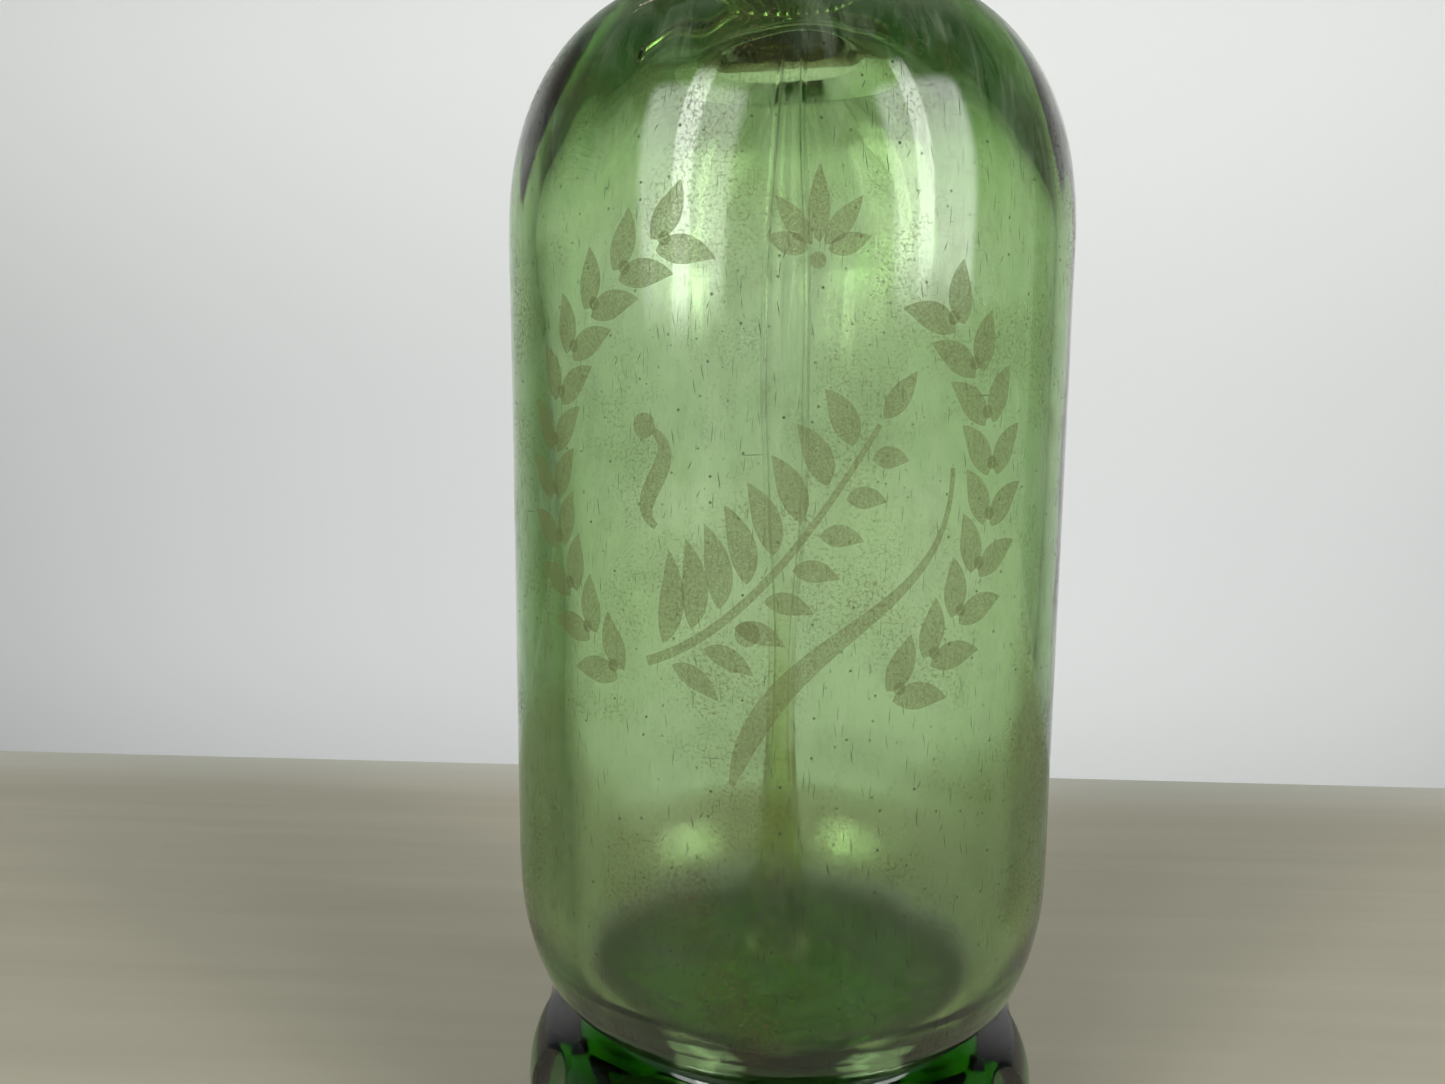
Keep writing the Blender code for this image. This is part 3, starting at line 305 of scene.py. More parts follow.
def glass_outside():
    """Outside of the bottle from the lip down to the middle of the punt."""
    points = arc((15.6, 233.0), 1.5, 90, 0, 5) + arc((15.6, 226.7), 1.5, 0, -90, 5)
    points += [(NECK_RADIUS, 225.2)] + straight((NECK_RADIUS, 225.2), (NECK_RADIUS, 212.5), 5)
    points += arc((NECK_RADIUS + 4, 212.5), 4.0, 180, 255, 8)
    points += superellipse((NECK_RADIUS, SHOULDER_Z), BODY_RADIUS - NECK_RADIUS, SHOULDER_HEIGHT,
                           SHOULDER_FULLNESS, 76, 0, 36)
    points += straight((BODY_RADIUS, SHOULDER_Z), (BODY_RADIUS, HEEL_TOP_Z), 34)
    points += superellipse((WAIST_RADIUS, HEEL_TOP_Z), BODY_RADIUS - WAIST_RADIUS, 24.5, 2.1, 0, -88, 22)
    points += arc((WAIST_RADIUS, 34.0), 3.0, 140, 220, 8)
    points += superellipse((WAIST_RADIUS, FOOT_MIDDLE), 9.0, 31.0 - FOOT_MIDDLE, 2.2, 80, 0, 16)
    points += superellipse((40.2, FOOT_MIDDLE), 7.0, FOOT_MIDDLE, 2.2, 0, -90, 14)[1:]
    ring_inner, punt_depth = 34.2, 14.0
    dome = (ring_inner ** 2 + punt_depth ** 2) / (2 * punt_depth)
    edge = asin(ring_inner / dome)
    for i in range(13):
        angle = edge * (1 - i / 12)
        points.append((dome * sin(angle), punt_depth - dome + dome * cos(angle)))
    return points


def glass_inside():
    """Inside of the bottle from the middle of the floor up to the mouth."""
    floor_radius = 22.0
    points = [(floor_radius * i / 12, FLOOR_Z) for i in range(12)]
    points += superellipse((floor_radius, 58.0), 43.36 - floor_radius, 24.0, 2.15, -90, 0, 26)
    points += straight((43.36, 58.0), (43.4, SHOULDER_Z), 34)
    points += superellipse((MOUTH_RADIUS, SHOULDER_Z), 32.9, 37.4, 2.0, 0, 76, 28)
    points += arc((MOUTH_RADIUS + 7.6, 212.5), 7.6, 240, 180, 8)
    points += straight((MOUTH_RADIUS, 212.5), (MOUTH_RADIUS, 233.9), 6)
    return points + [(MOUTH_RADIUS, 233.9), (MOUTH_RADIUS + 0.6, LIP_Z)]


def spin_outline(outline, steps, closed=False):
    """A turned shape from (radius, height) points."""
    shape = bmesh.new()
    verts = [shape.verts.new((r, 0.0, z)) for r, z in outline]
    edges = [shape.edges.new(pair) for pair in zip(verts, verts[1:])]
    if closed:
        edges.append(shape.edges.new((verts[-1], verts[0])))
    bmesh.ops.spin(shape, geom=verts + edges, cent=(0, 0, 0), axis=(0, 0, 1), angle=tau,
                   steps=steps, use_merge=True)
    bmesh.ops.remove_doubles(shape, verts=shape.verts, dist=0.001)
    bmesh.ops.recalc_face_normals(shape, faces=shape.faces)
    return shape


def outer_wave(azimuth, z):
    """How far the moulded outside waves in and out, in millimetres."""
    place = Vector((1.6 * sin(azimuth), 1.6 * cos(azimuth), z / 60))
    return OUTSIDE_WAVE * noise.noise(place + Vector((3.1, 0.0, 7.7)))


def outer_offset(azimuth, z):
    """How far the waving outside lies off its true radius; it never passes that radius."""
    fade = min(max((212 - z) / 20, 0.0), 1.0) * min(max((z - 2.0) / 20, 0.0), 1.0)
    return fade * (outer_wave(azimuth, z) - OUTSIDE_WAVE)


def inner_wave(azimuth, z):
    """How far the blown inside lies off its true radius: broad, upright waves."""
    broad = noise.noise(Vector((1.3 * sin(azimuth), 1.3 * cos(azimuth), z / 70)))
    upright = noise.noise(Vector((4.5 * sin(azimuth), 4.5 * cos(azimuth), z / 90 + 5.0)))
    small = noise.noise(Vector((9.0 * sin(azimuth), 9.0 * cos(azimuth), z / 22 + 9.0)))
    return 0.9 * broad + 0.22 * upright + 0.02 * small


def scoop_depth(azimuth, z):
    """Depth of the scoops pressed in the foot: tall ovals with a crisp arched edge."""
    pitch = tau / SCOOPS
    off = (azimuth + pitch / 2) % pitch - pitch / 2
    across = off * FOOT_RADIUS / 8.2
    up = (z - 14.0) / 15.2
    inside = 1 - across ** 2 - up ** 4
    return 1.9 * max(inside, 0.0)


def shift_radius(vertex, radius, offset):
    """Moves a vertex that stands at a radius straight out from the axis by an offset."""
    vertex.co.x *= (radius + offset) / radius
    vertex.co.y *= (radius + offset) / radius


bottle_shape = spin_outline(glass_inside() + glass_outside(), STEPS_ROUND)
for vertex in bottle_shape.verts:
    x, y, z = vertex.co
    radius, azimuth = hypot(x, y), atan2(x, -y)
    if radius < 0.01:
        continue
    # A point is on the inside if it lies nearer the axis than the middle of the wall.
    inner = z > FLOOR_Z - 2.5 and radius < (44.5 if z < SHOULDER_Z else
                                            44.5 - 32.0 * ((z - SHOULDER_Z) / 44.0) ** 2.6)
    if inner:
        fade = min(max((z - FLOOR_Z - 4) / 25, 0.0), 1.0) * min(max((214 - z) / 14, 0.0), 1.0)
        offset = fade * inner_wave(azimuth, z)
    else:
        offset = outer_offset(azimuth, z)
        if z < 31 and radius > 36:
            offset -= scoop_depth(azimuth, z)
    shift_radius(vertex, radius, offset)


def unroll(shape):
    """Lays out a turned shape by arc length and height, in millimetres."""
    unrolled = shape.loops.layers.uv.new("unrolled")
    for face in shape.faces:
        middle = face.calc_center_median()
        facing = atan2(middle.x, -middle.y)
        for loop in face.loops:
            x, y, z = loop.vert.co
            azimuth = atan2(x, -y)
            azimuth += tau * round((facing - azimuth) / tau)
            loop[unrolled].uv = (azimuth * BODY_RADIUS, z)


unroll(bottle_shape)
bottle_glass, tree, shader, output = new_material("iron_green_bottle_glass")
surface = add_node(tree, "ShaderNodeUVMap", uv_map="unrolled").outputs["UV"]
haze = add_node(tree, "ShaderNodeTexNoise", {"Vector": surface, "Scale": 0.12, "Detail": 6.0,
                                             "Roughness": 0.65}, noise_dimensions="2D")
haze_range = add_node(tree, "ShaderNodeMapRange",
                      {"Value": haze.outputs["Fac"], "From Min": 0.45, "From Max": 0.8,
                       "To Min": 0.01, "To Max": 0.09})
ripple = add_node(tree, "ShaderNodeTexNoise", {"Vector": surface, "Scale": 0.04, "Detail": 0.0},
                  noise_dimensions="2D")
ripple_bump = add_node(tree, "ShaderNodeBump", {"Height": ripple.outputs["Fac"],
                                                "Strength": 0.1, "Distance": 0.002})
shader.inputs["Base Color"].default_value = (1.0, 1.0, 1.0, 1.0)
rise = add_node(tree, "ShaderNodeSeparateXYZ", {"Vector": surface})
settled = add_node(tree, "ShaderNodeMapRange", {"Value": rise.outputs["Y"], "From Min": 104.0,
                                                "From Max": 66.0, "To Max": 0.14},
                   interpolation_type="SMOOTHSTEP")
rinsed = add_node(tree, "ShaderNodeMapRange", {"Value": rise.outputs["Y"], "From Min": 40.0,
                                               "From Max": 66.0, "To Min": 0.02, "To Max": 0.14})
residue = add_node(tree, "ShaderNodeMath", {0: settled.outputs["Result"],
                                            1: rinsed.outputs["Result"]}, operation="MINIMUM")
frost = add_node(tree, "ShaderNodeMath", {0: haze_range.outputs["Result"],
                                          1: residue.outputs["Value"]}, operation="ADD")
tree.links.new(frost.outputs["Value"], shader.inputs["Roughness"])
tree.links.new(ripple_bump.outputs["Normal"], shader.inputs["Normal"])
shader.inputs["IOR"].default_value = 1.52
shader.inputs["Transmission Weight"].default_value = 1.0
absorption = add_node(tree, "ShaderNodeVolumeAbsorption",
                      {"Color": (0.32, 0.66, 0.0, 1.0), "Density": 124.0})
tree.links.new(absorption.outputs["Volume"], output.inputs["Volume"])

bottle = make_piece(bottle_shape, "bottle_glass", bottle_glass)
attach(bottle, "bottle")
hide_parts("glass_bottle")


# --- Wear on the glass -------------------------------------------------------------------------
# What a century in crates has left on the outside: fine scratches, pits, brown dirt in patches
# and a pale streaky film. It is a layer just above the glass, clear wherever there is no mark.
FILM_LIFT = 0.03

film_outline = [point for point in glass_outside() if 38.0 < point[1] < 207.6 and point[0] > 20.0]
film_shape = spin_outline(film_outline, STEPS_ROUND)
for vertex in film_shape.verts:
    x, y, z = vertex.co
    shift_radius(vertex, hypot(x, y), outer_offset(atan2(x, -y), z) + FILM_LIFT)
inward = [face for face in film_shape.faces if face.normal.xy.dot(face.calc_center_median().xy) < 0]
bmesh.ops.reverse_faces(film_shape, faces=inward)
unroll(film_shape)

wear, tree, shader, output = new_material("scratches_and_dirt")
surface = add_node(tree, "ShaderNodeUVMap", uv_map="unrolled").outputs["UV"]
# Rows: lean in degrees, squeeze along the mark, marks per millimetre, line widths, rarity.
scratches = 0.0
for lean, spread, cells, thin, wide, power in ((4, 0.05, 1.2, 0.02, 0.1, 1.4),
                                               (-9, 0.07, 0.7, 0.02, 0.07, 1.5),
                                               (25, 0.12, 0.3, 0.01, 0.03, 1.5),
                                               (88, 0.04, 0.12, 0.004, 0.012, 1.0),
                                               (0, 1.0, 0.2, 0.02, 0.06, 1.0)):
    laid = add_node(tree, "ShaderNodeMapping", {"Vector": surface, "Location": (7.0 * lean, 0, 0),
                                                "Rotation": (0.0, 0.0, radians(lean))})
    drawn = add_node(tree, "ShaderNodeMapping", {"Vector": laid.outputs["Vector"],
                                                 "Scale": (1.0, spread, 1.0)})
    cell = add_node(tree, "ShaderNodeTexVoronoi", {"Vector": drawn.outputs["Vector"],
                                                   "Scale": cells}, voronoi_dimensions="2D")
    line = add_node(tree, "ShaderNodeMapRange", {"Value": cell.outputs["Distance"],
                                                 "From Min": thin, "From Max": wide,
                                                 "To Min": 0.85, "To Max": 0.0})
    chance = add_node(tree, "ShaderNodeSeparateColor", {"Color": cell.outputs["Color"]})
    deep = add_node(tree, "ShaderNodeMath", {0: chance.outputs["Red"], 1: power}, operation="POWER")
    layer = add_node(tree, "ShaderNodeMath", {0: line.outputs["Result"], 1: deep.outputs["Value"]},
                     operation="MULTIPLY")
    scratches = add_node(tree, "ShaderNodeMath", {0: layer.outputs["Value"], 1: scratches},
                         operation="MAXIMUM").outputs["Value"]
patches = add_node(tree, "ShaderNodeTexNoise", {"Vector": surface, "Scale": 0.05, "Detail": 5.0,
                                                "Roughness": 0.6}, noise_dimensions="2D")
patch = add_node(tree, "ShaderNodeMapRange", {"Value": patches.outputs["Fac"], "From Min": 0.46,
                                              "From Max": 0.7})
specks = add_node(tree, "ShaderNodeTexNoise", {"Vector": surface, "Scale": 1.6, "Detail": 5.0,
                                               "Roughness": 0.7}, noise_dimensions="2D")
speck = add_node(tree, "ShaderNodeMapRange", {"Value": specks.outputs["Fac"], "From Min": 0.46,
                                              "From Max": 0.74, "To Max": 0.75})
dirt = add_node(tree, "ShaderNodeMath", {0: patch.outputs["Result"], 1: speck.outputs["Result"]},
                operation="MULTIPLY").outputs["Value"]
wiped = add_node(tree, "ShaderNodeMapping", {"Vector": surface, "Scale": (0.25, 0.06, 1.0)})
streaks = add_node(tree, "ShaderNodeTexNoise", {"Vector": wiped.outputs["Vector"], "Scale": 1.0,
                                                "Detail": 8.0, "Roughness": 0.7,
                                                "Distortion": 0.6}, noise_dimensions="2D")
pale = add_node(tree, "ShaderNodeMapRange", {"Value": streaks.outputs["Fac"], "From Min": 0.4,
                                             "From Max": 0.72, "To Max": 0.13})
rise = add_node(tree, "ShaderNodeSeparateXYZ", {"Vector": surface})
washed = add_node(tree, "ShaderNodeMapRange", {"Value": rise.outputs["Y"], "From Min": 60.0,
                                               "From Max": 130.0, "To Min": 0.12})
bloom = add_node(tree, "ShaderNodeMath", {0: pale.outputs["Result"], 1: washed.outputs["Result"]},
                 operation="MULTIPLY")
# A dark, streaky band on the upper shoulder, fading in from 192 mm to 206 mm, just below the collar.
below_collar = add_node(tree, "ShaderNodeMapRange", {"Value": rise.outputs["Y"], "From Min": 192.0,
                                                 "From Max": 206.0, "To Max": 0.8},
                    interpolation_type="SMOOTHSTEP")
dark_tone = add_node(tree, "ShaderNodeMath", {0: below_collar.outputs["Result"],
                                          1: streaks.outputs["Fac"]}, operation="MULTIPLY")
marks = add_node(tree, "ShaderNodeMath", {0: scratches, 1: dark_tone.outputs["Value"]},
                 operation="MAXIMUM").outputs["Value"]
covers = add_node(tree, "ShaderNodeMath", {0: marks, 1: dirt}, operation="MAXIMUM")
cover = add_node(tree, "ShaderNodeMath", {0: covers.outputs["Value"], 1: bloom.outputs["Value"]},
                 operation="MAXIMUM")
colour = linear("#BFCBAE")
for amount, over in ((patch.outputs["Result"], "#5B4F2C"), (marks, "#1C2410")):
    share = add_node(tree, "ShaderNodeMapRange", {"Value": amount, "From Max": 0.3})
    colour = add_node(tree, "ShaderNodeMix", {"Factor": share.outputs["Result"], "A": colour,
                                              "B": linear(over)},
                      data_type="RGBA").outputs["Result"]
tree.links.new(colour, shader.inputs["Base Color"])
tree.links.new(cover.outputs["Value"], shader.inputs["Alpha"])
shader.inputs["Roughness"].default_value = 0.8
film = make_piece(film_shape, "wear_on_glass", wear)
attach(film, "bottle")


# --- Dried residue on the floor ----------------------------------------------------------------
# A thin, uneven crust that old mineral water has left inside on the floor. It is thickest in the
# middle and runs out on the curve of the wall. Its colour is painted light and shade: in the middle
# the bright green of light through the deep glass, and a dark painted shade where the floor curves up.
CRUST_TOP_Z = 45.0
CRUST_LIFT = 0.3

crust_outline = [(r, z + CRUST_LIFT) for r, z in glass_inside() if z < CRUST_TOP_Z]
crust_shape = spin_outline(crust_outline, 180)
bmesh.ops.reverse_faces(crust_shape, faces=[face for face in crust_shape.faces if face.normal.z < 0])
residue_and_painted_light, tree, shader, output = new_material("mineral_residue_and_painted_light")
place = add_node(tree, "ShaderNodeTexCoord").outputs["Object"]
spread = add_node(tree, "ShaderNodeTexNoise", {"Vector": place, "Scale": 90.0, "Detail": 6.0,
                                               "Roughness": 0.65})
height = add_node(tree, "ShaderNodeSeparateXYZ", {"Vector": place})
thick = add_node(tree, "ShaderNodeMapRange", {"Value": height.outputs["Z"], "From Min": 0.045,
                                              "From Max": 0.036, "To Max": 0.9},
                 interpolation_type="SMOOTHSTEP")
patchy = add_node(tree, "ShaderNodeMapRange", {"Value": spread.outputs["Fac"], "From Min": 0.3,
                                               "From Max": 0.6, "To Min": 0.6})
cover = add_node(tree, "ShaderNodeMath", {0: thick.outputs["Result"], 1: patchy.outputs["Result"]},
                 operation="MULTIPLY")
# Painted light and shade: bright green on the flat middle of the floor, turning to a dark painted shade as
# the floor curves up into the wall.
deep = add_node(tree, "ShaderNodeMapRange", {"Value": height.outputs["Z"], "From Min": 0.0345,
                                             "From Max": 0.038})
colour = add_node(tree, "ShaderNodeMix", {"Factor": deep.outputs["Result"], "A": linear("#4E7F14"),
                                          "B": linear("#1C3A12")}, data_type="RGBA")
tree.links.new(colour.outputs["Result"], shader.inputs["Base Color"])
tree.links.new(cover.outputs["Value"], shader.inputs["Alpha"])
shader.inputs["Roughness"].default_value = 0.95
shader.inputs["Specular IOR Level"].default_value = 0.1
floor_crust = make_piece(crust_shape, "residue_on_floor", residue_and_painted_light)
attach(floor_crust, "bottle")


# --- Etched ornament ---------------------------------------------------------------------------
# A maker's stencil pattern, eaten into the outside with acid so that it stays matt: two laurel
# branches, a small palmette at the top and a leafy spray. Stencil bridges keep the leaves apart.
ETCH_LIFT = 0.05
WREATH_CENTRE = (-3.6, 131.0)
WREATH_RADIUS = 35.5


def wrap_on_bottle(x, z):
    """A point of the flat stencil, laid on the outside of the bottle."""
    azimuth = x / BODY_RADIUS
    radius = BODY_RADIUS
    if z > SHOULDER_Z:
        rise = ((z - SHOULDER_Z) / SHOULDER_HEIGHT) ** SHOULDER_FULLNESS
        radius = NECK_RADIUS + (BODY_RADIUS - NECK_RADIUS) * (1 - rise) ** (1 / SHOULDER_FULLNESS)
    radius += outer_wave(azimuth, z) - OUTSIDE_WAVE + ETCH_LIFT
    return Vector((radius * sin(azimuth), -radius * cos(azimuth), z))


def etch_stroke(shape, line, half_width, steps=18):
    """One cut of the stencil: a strip along line(t) whose half width is half_width(t)."""
    made = bmesh.ops.create_grid(shape, x_segments=steps, y_segments=4, size=1.0)
    for vertex in made["verts"]:
        t = min(max((vertex.co.x + 1) / 2, 0.0), 1.0)
        side = vertex.co.y
        x, z = line(t)
        ahead, behind = line(min(t + 0.01, 1.0)), line(max(t - 0.01, 0.0))
        along = Vector((ahead[0] - behind[0], ahead[1] - behind[1])).normalized()
        reach = side * half_width(t)
        vertex.co = wrap_on_bottle(x - along.y * reach, z + along.x * reach)


def etch_leaf(shape, root, angle, length, width, bend=0.25):
    """A pointed leaf from its root, in a direction in degrees, with a slight bend."""
    a = radians(angle)

    def line(t):
        sag = bend * length * t * (1 - t)
        return (root[0] + length * t * cos(a) - sag * sin(a),
                root[1] + length * t * sin(a) + sag * cos(a))

    etch_stroke(shape, line, lambda t: 0.03 + width / 2 * sin(pi * t ** 0.8) ** 0.9)


def etch_dot(shape, centre, radius):
    """A round berry."""
    etch_stroke(shape, lambda t: (centre[0] + radius * (2 * t - 1), centre[1]),
                lambda t: 0.02 + radius * sqrt(max(1 - (2 * t - 1) ** 2, 0.0)))


def etch_branch(shape, start, end, pairs):
    """A laurel branch on the wreath's circle, from angle start to angle end in degrees."""
    turn = 90 if end > start else -90
    for i in range(pairs):
        at = start + (end - start) * (i + 0.2) / pairs
        a = radians(at)
        root = (WREATH_CENTRE[0] + WREATH_RADIUS * cos(a), WREATH_CENTRE[1] + WREATH_RADIUS * sin(a))
        ahead = at + turn
        for side in (-1, 1):
            lean = side * 34
            step = (0.9 * cos(radians(ahead + side * 90)), 0.9 * sin(radians(ahead + side * 90)))
            etch_leaf(shape, (root[0] + step[0], root[1] + step[1]), ahead + lean, 8.8, 4.0,
                      -side * 0.3)
        berry = a + radians((end - start) / pairs * 0.25)
        etch_dot(shape, (WREATH_CENTRE[0] + WREATH_RADIUS * cos(berry),
                         WREATH_CENTRE[1] + WREATH_RADIUS * sin(berry)), 0.95)


def bezier(p0, p1, p2, p3):
    """A cubic curve between p0 and p3 as a function of t."""
    def line(t):
        s = 1 - t
        return tuple(s ** 3 * a + 3 * s * s * t * b + 3 * s * t * t * c + t ** 3 * d
                     for a, b, c, d in zip(p0, p1, p2, p3))
    return line


ornament_shape = bmesh.new()
etch_branch(ornament_shape, 236, 106, 11)
etch_branch(ornament_shape, -60, 46, 9)

for lean, length in ((90, 10.0), (128, 8.0), (52, 8.0), (162, 6.0), (18, 6.0)):
    etch_leaf(ornament_shape, (4.0 + 1.4 * cos(radians(lean)), 161.5 + 1.4 * sin(radians(lean))),
              lean, length, 2.9, 0.0)
etch_dot(ornament_shape, (4.0, 160.6), 1.1)

stem = bezier((-20.0, 105.0), (-6.0, 110.0), (3.0, 123.0), (13.0, 139.0))
etch_stroke(ornament_shape, stem, lambda t: 0.75 - 0.35 * t, 60)
for i in range(8):
    t = 0.08 + 0.12 * i
    x, z = stem(t)
    x2, z2 = stem(t + 0.02)
    along = atan2(z2 - z, x2 - x) * 180 / pi
    size = 13.5 - 0.7 * i
    for side, reach in ((-1, 0.62), (1, 1.0)):
        off = radians(along + side * 90)
        etch_leaf(ornament_shape, (x + 1.7 * cos(off), z + 1.7 * sin(off)), along + side * 60,
                  size * reach, 3.9 * reach ** 0.5, -side * 0.3)
etch_leaf(ornament_shape, (13.6, 139.8), 54, 8.0, 3.2, 0.0)
sweep = bezier((24.5, 133.0), (25.0, 111.0), (-1.0, 113.0), (-7.0, 88.0))
etch_stroke(ornament_shape, sweep, lambda t: 0.4 + 2.4 * t ** 1.8 * (1 - t ** 9), 60)
curl = bezier((-19.0, 138.0), (-13.0, 134.0), (-24.0, 128.0), (-18.5, 124.5))
etch_stroke(ornament_shape, curl, lambda t: 0.5 + 0.9 * sin(pi * t), 30)
etch_dot(ornament_shape, (-20.4, 138.6), 1.8)
etch_dot(ornament_shape, (-5.0, 110.0), 1.8)
bmesh.ops.recalc_face_normals(ornament_shape, faces=ornament_shape.faces)
bmesh.ops.reverse_faces(ornament_shape,
                        faces=[f for f in ornament_shape.faces if f.normal.y > 0])

etched, tree, shader, output = new_material("acid_etched_glass")
place = add_node(tree, "ShaderNodeTexCoord").outputs["Object"]
grain = add_node(tree, "ShaderNodeTexNoise", {"Vector": place, "Scale": 3200.0, "Detail": 2.0})
cover = add_node(tree, "ShaderNodeMapRange", {"Value": grain.outputs["Fac"], "From Min": 0.3,
                                              "From Max": 0.7, "To Min": 0.34, "To Max": 0.6})
shader.inputs["Base Color"].default_value = linear("#5C5F33")
shader.inputs["Roughness"].default_value = 0.85
tree.links.new(cover.outputs["Result"], shader.inputs["Alpha"])
ornament = make_piece(ornament_shape, "etched_ornament", etched)
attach(ornament, "bottle")


# --- Dip tube ----------------------------------------------------------------------------------
# Hand-drawn clear glass tube with an even wall: it swells at half height, thins below that and
# opens as a trumpet just above the floor.
TUBE_TOP_Z = 239.7
TUBE_END_Z = 41.0
TUBE_WALL = 1.2


def smooth_step(x):
    """Rises from 0 to 1 with soft ends while x goes from 0 to 1."""
    x = min(max(x, 0.0), 1.0)
    return x * x * (3 - 2 * x)


def tube_radius(z):
    """Outer radius of the tube, in millimetres."""
    share = (z - TUBE_END_Z) / (TUBE_TOP_Z - TUBE_END_Z)
    swell = 1.6 * (smooth_step((share - 0.28) / 0.24) - smooth_step((share - 0.56) / 0.26))
    thin = 0.7 * (smooth_step((share - 0.12) / 0.12) - smooth_step((share - 0.26) / 0.14))
    return 3.0 + swell - thin + 2.3 * (1 - smooth_step(share / 0.2)) ** 1.5


def tube_outline():
    """The tube's wall: outside from the top down, then the bore from the bottom up."""
    count = 90
    length = TUBE_TOP_Z - TUBE_END_Z
    heights = [TUBE_TOP_Z - length * i / count for i in range(count + 1)]
    outer = [(tube_radius(z), z) for z in heights]
    return outer + [(tube_radius(z) - TUBE_WALL, z) for z in reversed(heights)]


tube_glass, tree, shader, output = new_material("drawn_tube_glass")
shader.inputs["IOR"].default_value = 1.22
shader.inputs["Transmission Weight"].default_value = 1.0
place = add_node(tree, "ShaderNodeTexCoord").outputs["Object"]
cloud = add_node(tree, "ShaderNodeTexNoise", {"Vector": place, "Scale": 220.0, "Detail": 4.0})
cloudy = add_node(tree, "ShaderNodeMapRange", {"Value": cloud.outputs["Fac"], "From Min": 0.4,
                                               "From Max": 0.75, "To Min": 0.02, "To Max": 0.1})
low_end = add_node(tree, "ShaderNodeSeparateXYZ", {"Vector": place})
frosted = add_node(tree, "ShaderNodeMapRange", {"Value": low_end.outputs["Z"], "From Min": 0.085,
                                                "From Max": 0.05, "To Max": 0.2},
                   interpolation_type="SMOOTHSTEP")
rough = add_node(tree, "ShaderNodeMath", {0: cloudy.outputs["Result"], 1: frosted.outputs["Result"]},
                 operation="ADD")
tree.links.new(rough.outputs["Value"], shader.inputs["Roughness"])
stained = add_node(tree, "ShaderNodeMapRange", {"Value": low_end.outputs["Z"], "From Min": 0.12,
                                                "From Max": 0.055}, interpolation_type="SMOOTHSTEP")
stain = add_node(tree, "ShaderNodeMix", {"Factor": stained.outputs["Result"],
                                         "A": (1.0, 1.0, 1.0, 1.0), "B": linear("#E2E6BC")},
                 data_type="RGBA")
tree.links.new(stain.outputs["Result"], shader.inputs["Base Color"])
absorption = add_node(tree, "ShaderNodeVolumeAbsorption",
                      {"Color": (0.4, 0.7, 0.1, 1.0), "Density": 3.0})
tree.links.new(absorption.outputs["Volume"], output.inputs["Volume"])
tube = make_piece(spin_outline(tube_outline(), 96, closed=True), "dip_tube_glass", tube_glass)
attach(tube, "bottle")
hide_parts("dip_tube")


# --- Collar nut --------------------------------------------------------------------------------
# Turned brass ring that pulls the head down on the glass bead. Forty rounded ribs give the hand
# a hold, between two plain bands. Nickel-plated: dulled in clouds, brown in the hollows, with
# yellow brass where edges have rubbed through.
def make_metal(name, clean, dull, dark_tone, edge, rough):
    """A used metal: clouds, flecks, rubbed edges, grimy hollows and fine turning lines."""
    material, tree, shader, output = new_material(name)
    place = add_node(tree, "ShaderNodeTexCoord").outputs["Object"]
    cloud = add_node(tree, "ShaderNodeTexNoise", {"Vector": place, "Scale": 110.0, "Detail": 6.0,
                                                  "Roughness": 0.6}).outputs["Fac"]
    fleck = add_node(tree, "ShaderNodeTexNoise", {"Vector": place, "Scale": 900.0, "Detail": 3.0})
    curve = add_node(tree, "ShaderNodeNewGeometry").outputs["Pointiness"]
    colour = linear(clean)
    for value, low, high, most, over in ((cloud, 0.38, 0.64, 0.9, dull),
                                         (fleck.outputs["Fac"], 0.58, 0.72, 0.5, dark_tone),
                                         (curve, 0.53, 0.6, 0.5, edge),
                                         (curve, 0.485, 0.43, 0.75, dark_tone)):
        amount = add_node(tree, "ShaderNodeMapRange", {"Value": value, "From Min": low,
                                                       "From Max": high, "To Max": most})
        colour = add_node(tree, "ShaderNodeMix", {"Factor": amount.outputs["Result"], "A": colour,
                                                  "B": linear(over)},
                          data_type="RGBA").outputs["Result"]
    worn = add_node(tree, "ShaderNodeMapRange", {"Value": cloud, "From Min": 0.3, "From Max": 0.7,
                                                 "To Min": rough[0], "To Max": rough[1]})
    turned = add_node(tree, "ShaderNodeMapping", {"Vector": place, "Scale": (0.3, 0.3, 8.0)})
    lines = add_node(tree, "ShaderNodeTexNoise", {"Vector": turned.outputs["Vector"],
                                                  "Scale": 380.0, "Detail": 3.0})
    bump = add_node(tree, "ShaderNodeBump", {"Height": lines.outputs["Fac"], "Strength": 0.15,
                                             "Distance": 0.0002})
    tree.links.new(colour, shader.inputs["Base Color"])
    tree.links.new(worn.outputs["Result"], shader.inputs["Roughness"])
    tree.links.new(bump.outputs["Normal"], shader.inputs["Normal"])
    shader.inputs["Metallic"].default_value = 1.0
    return material


nickel = make_metal("worn_nickel_plate", "#CBC5B8", "#938D81", "#4A4236", "#C2A063", (0.2, 0.4))

RIBS = 40
COLLAR_RADIUS = 23.6
COLLAR_LOW, COLLAR_HIGH = [corner.z * 1000 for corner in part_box("collar_nut")]


def collar_outline():
    """Outside of the collar from the top, then its bore and the shelf under the split ring."""
    r, low, high = COLLAR_RADIUS, COLLAR_LOW, COLLAR_HIGH
    points = [(20.6, high)] + arc((r - 1.0, high - 1.0), 1.0, 90, 0, 4)
    points += [(r, high - 3.2), (r - 0.7, high - 3.6), (r - 0.7, high - 4.4), (r, high - 4.8)]
    points += straight((r, high - 4.8), (r, low + 4.8), 16)
    points += [(r, low + 4.8), (r - 0.7, low + 4.4), (r - 0.7, low + 3.6), (r, low + 3.2)]
    points += arc((r - 1.0, low + 1.0), 1.0, 0, -90, 4)
    return points + [(17.4, low), (17.4, low + 3.1), (20.6, low + 3.1)]


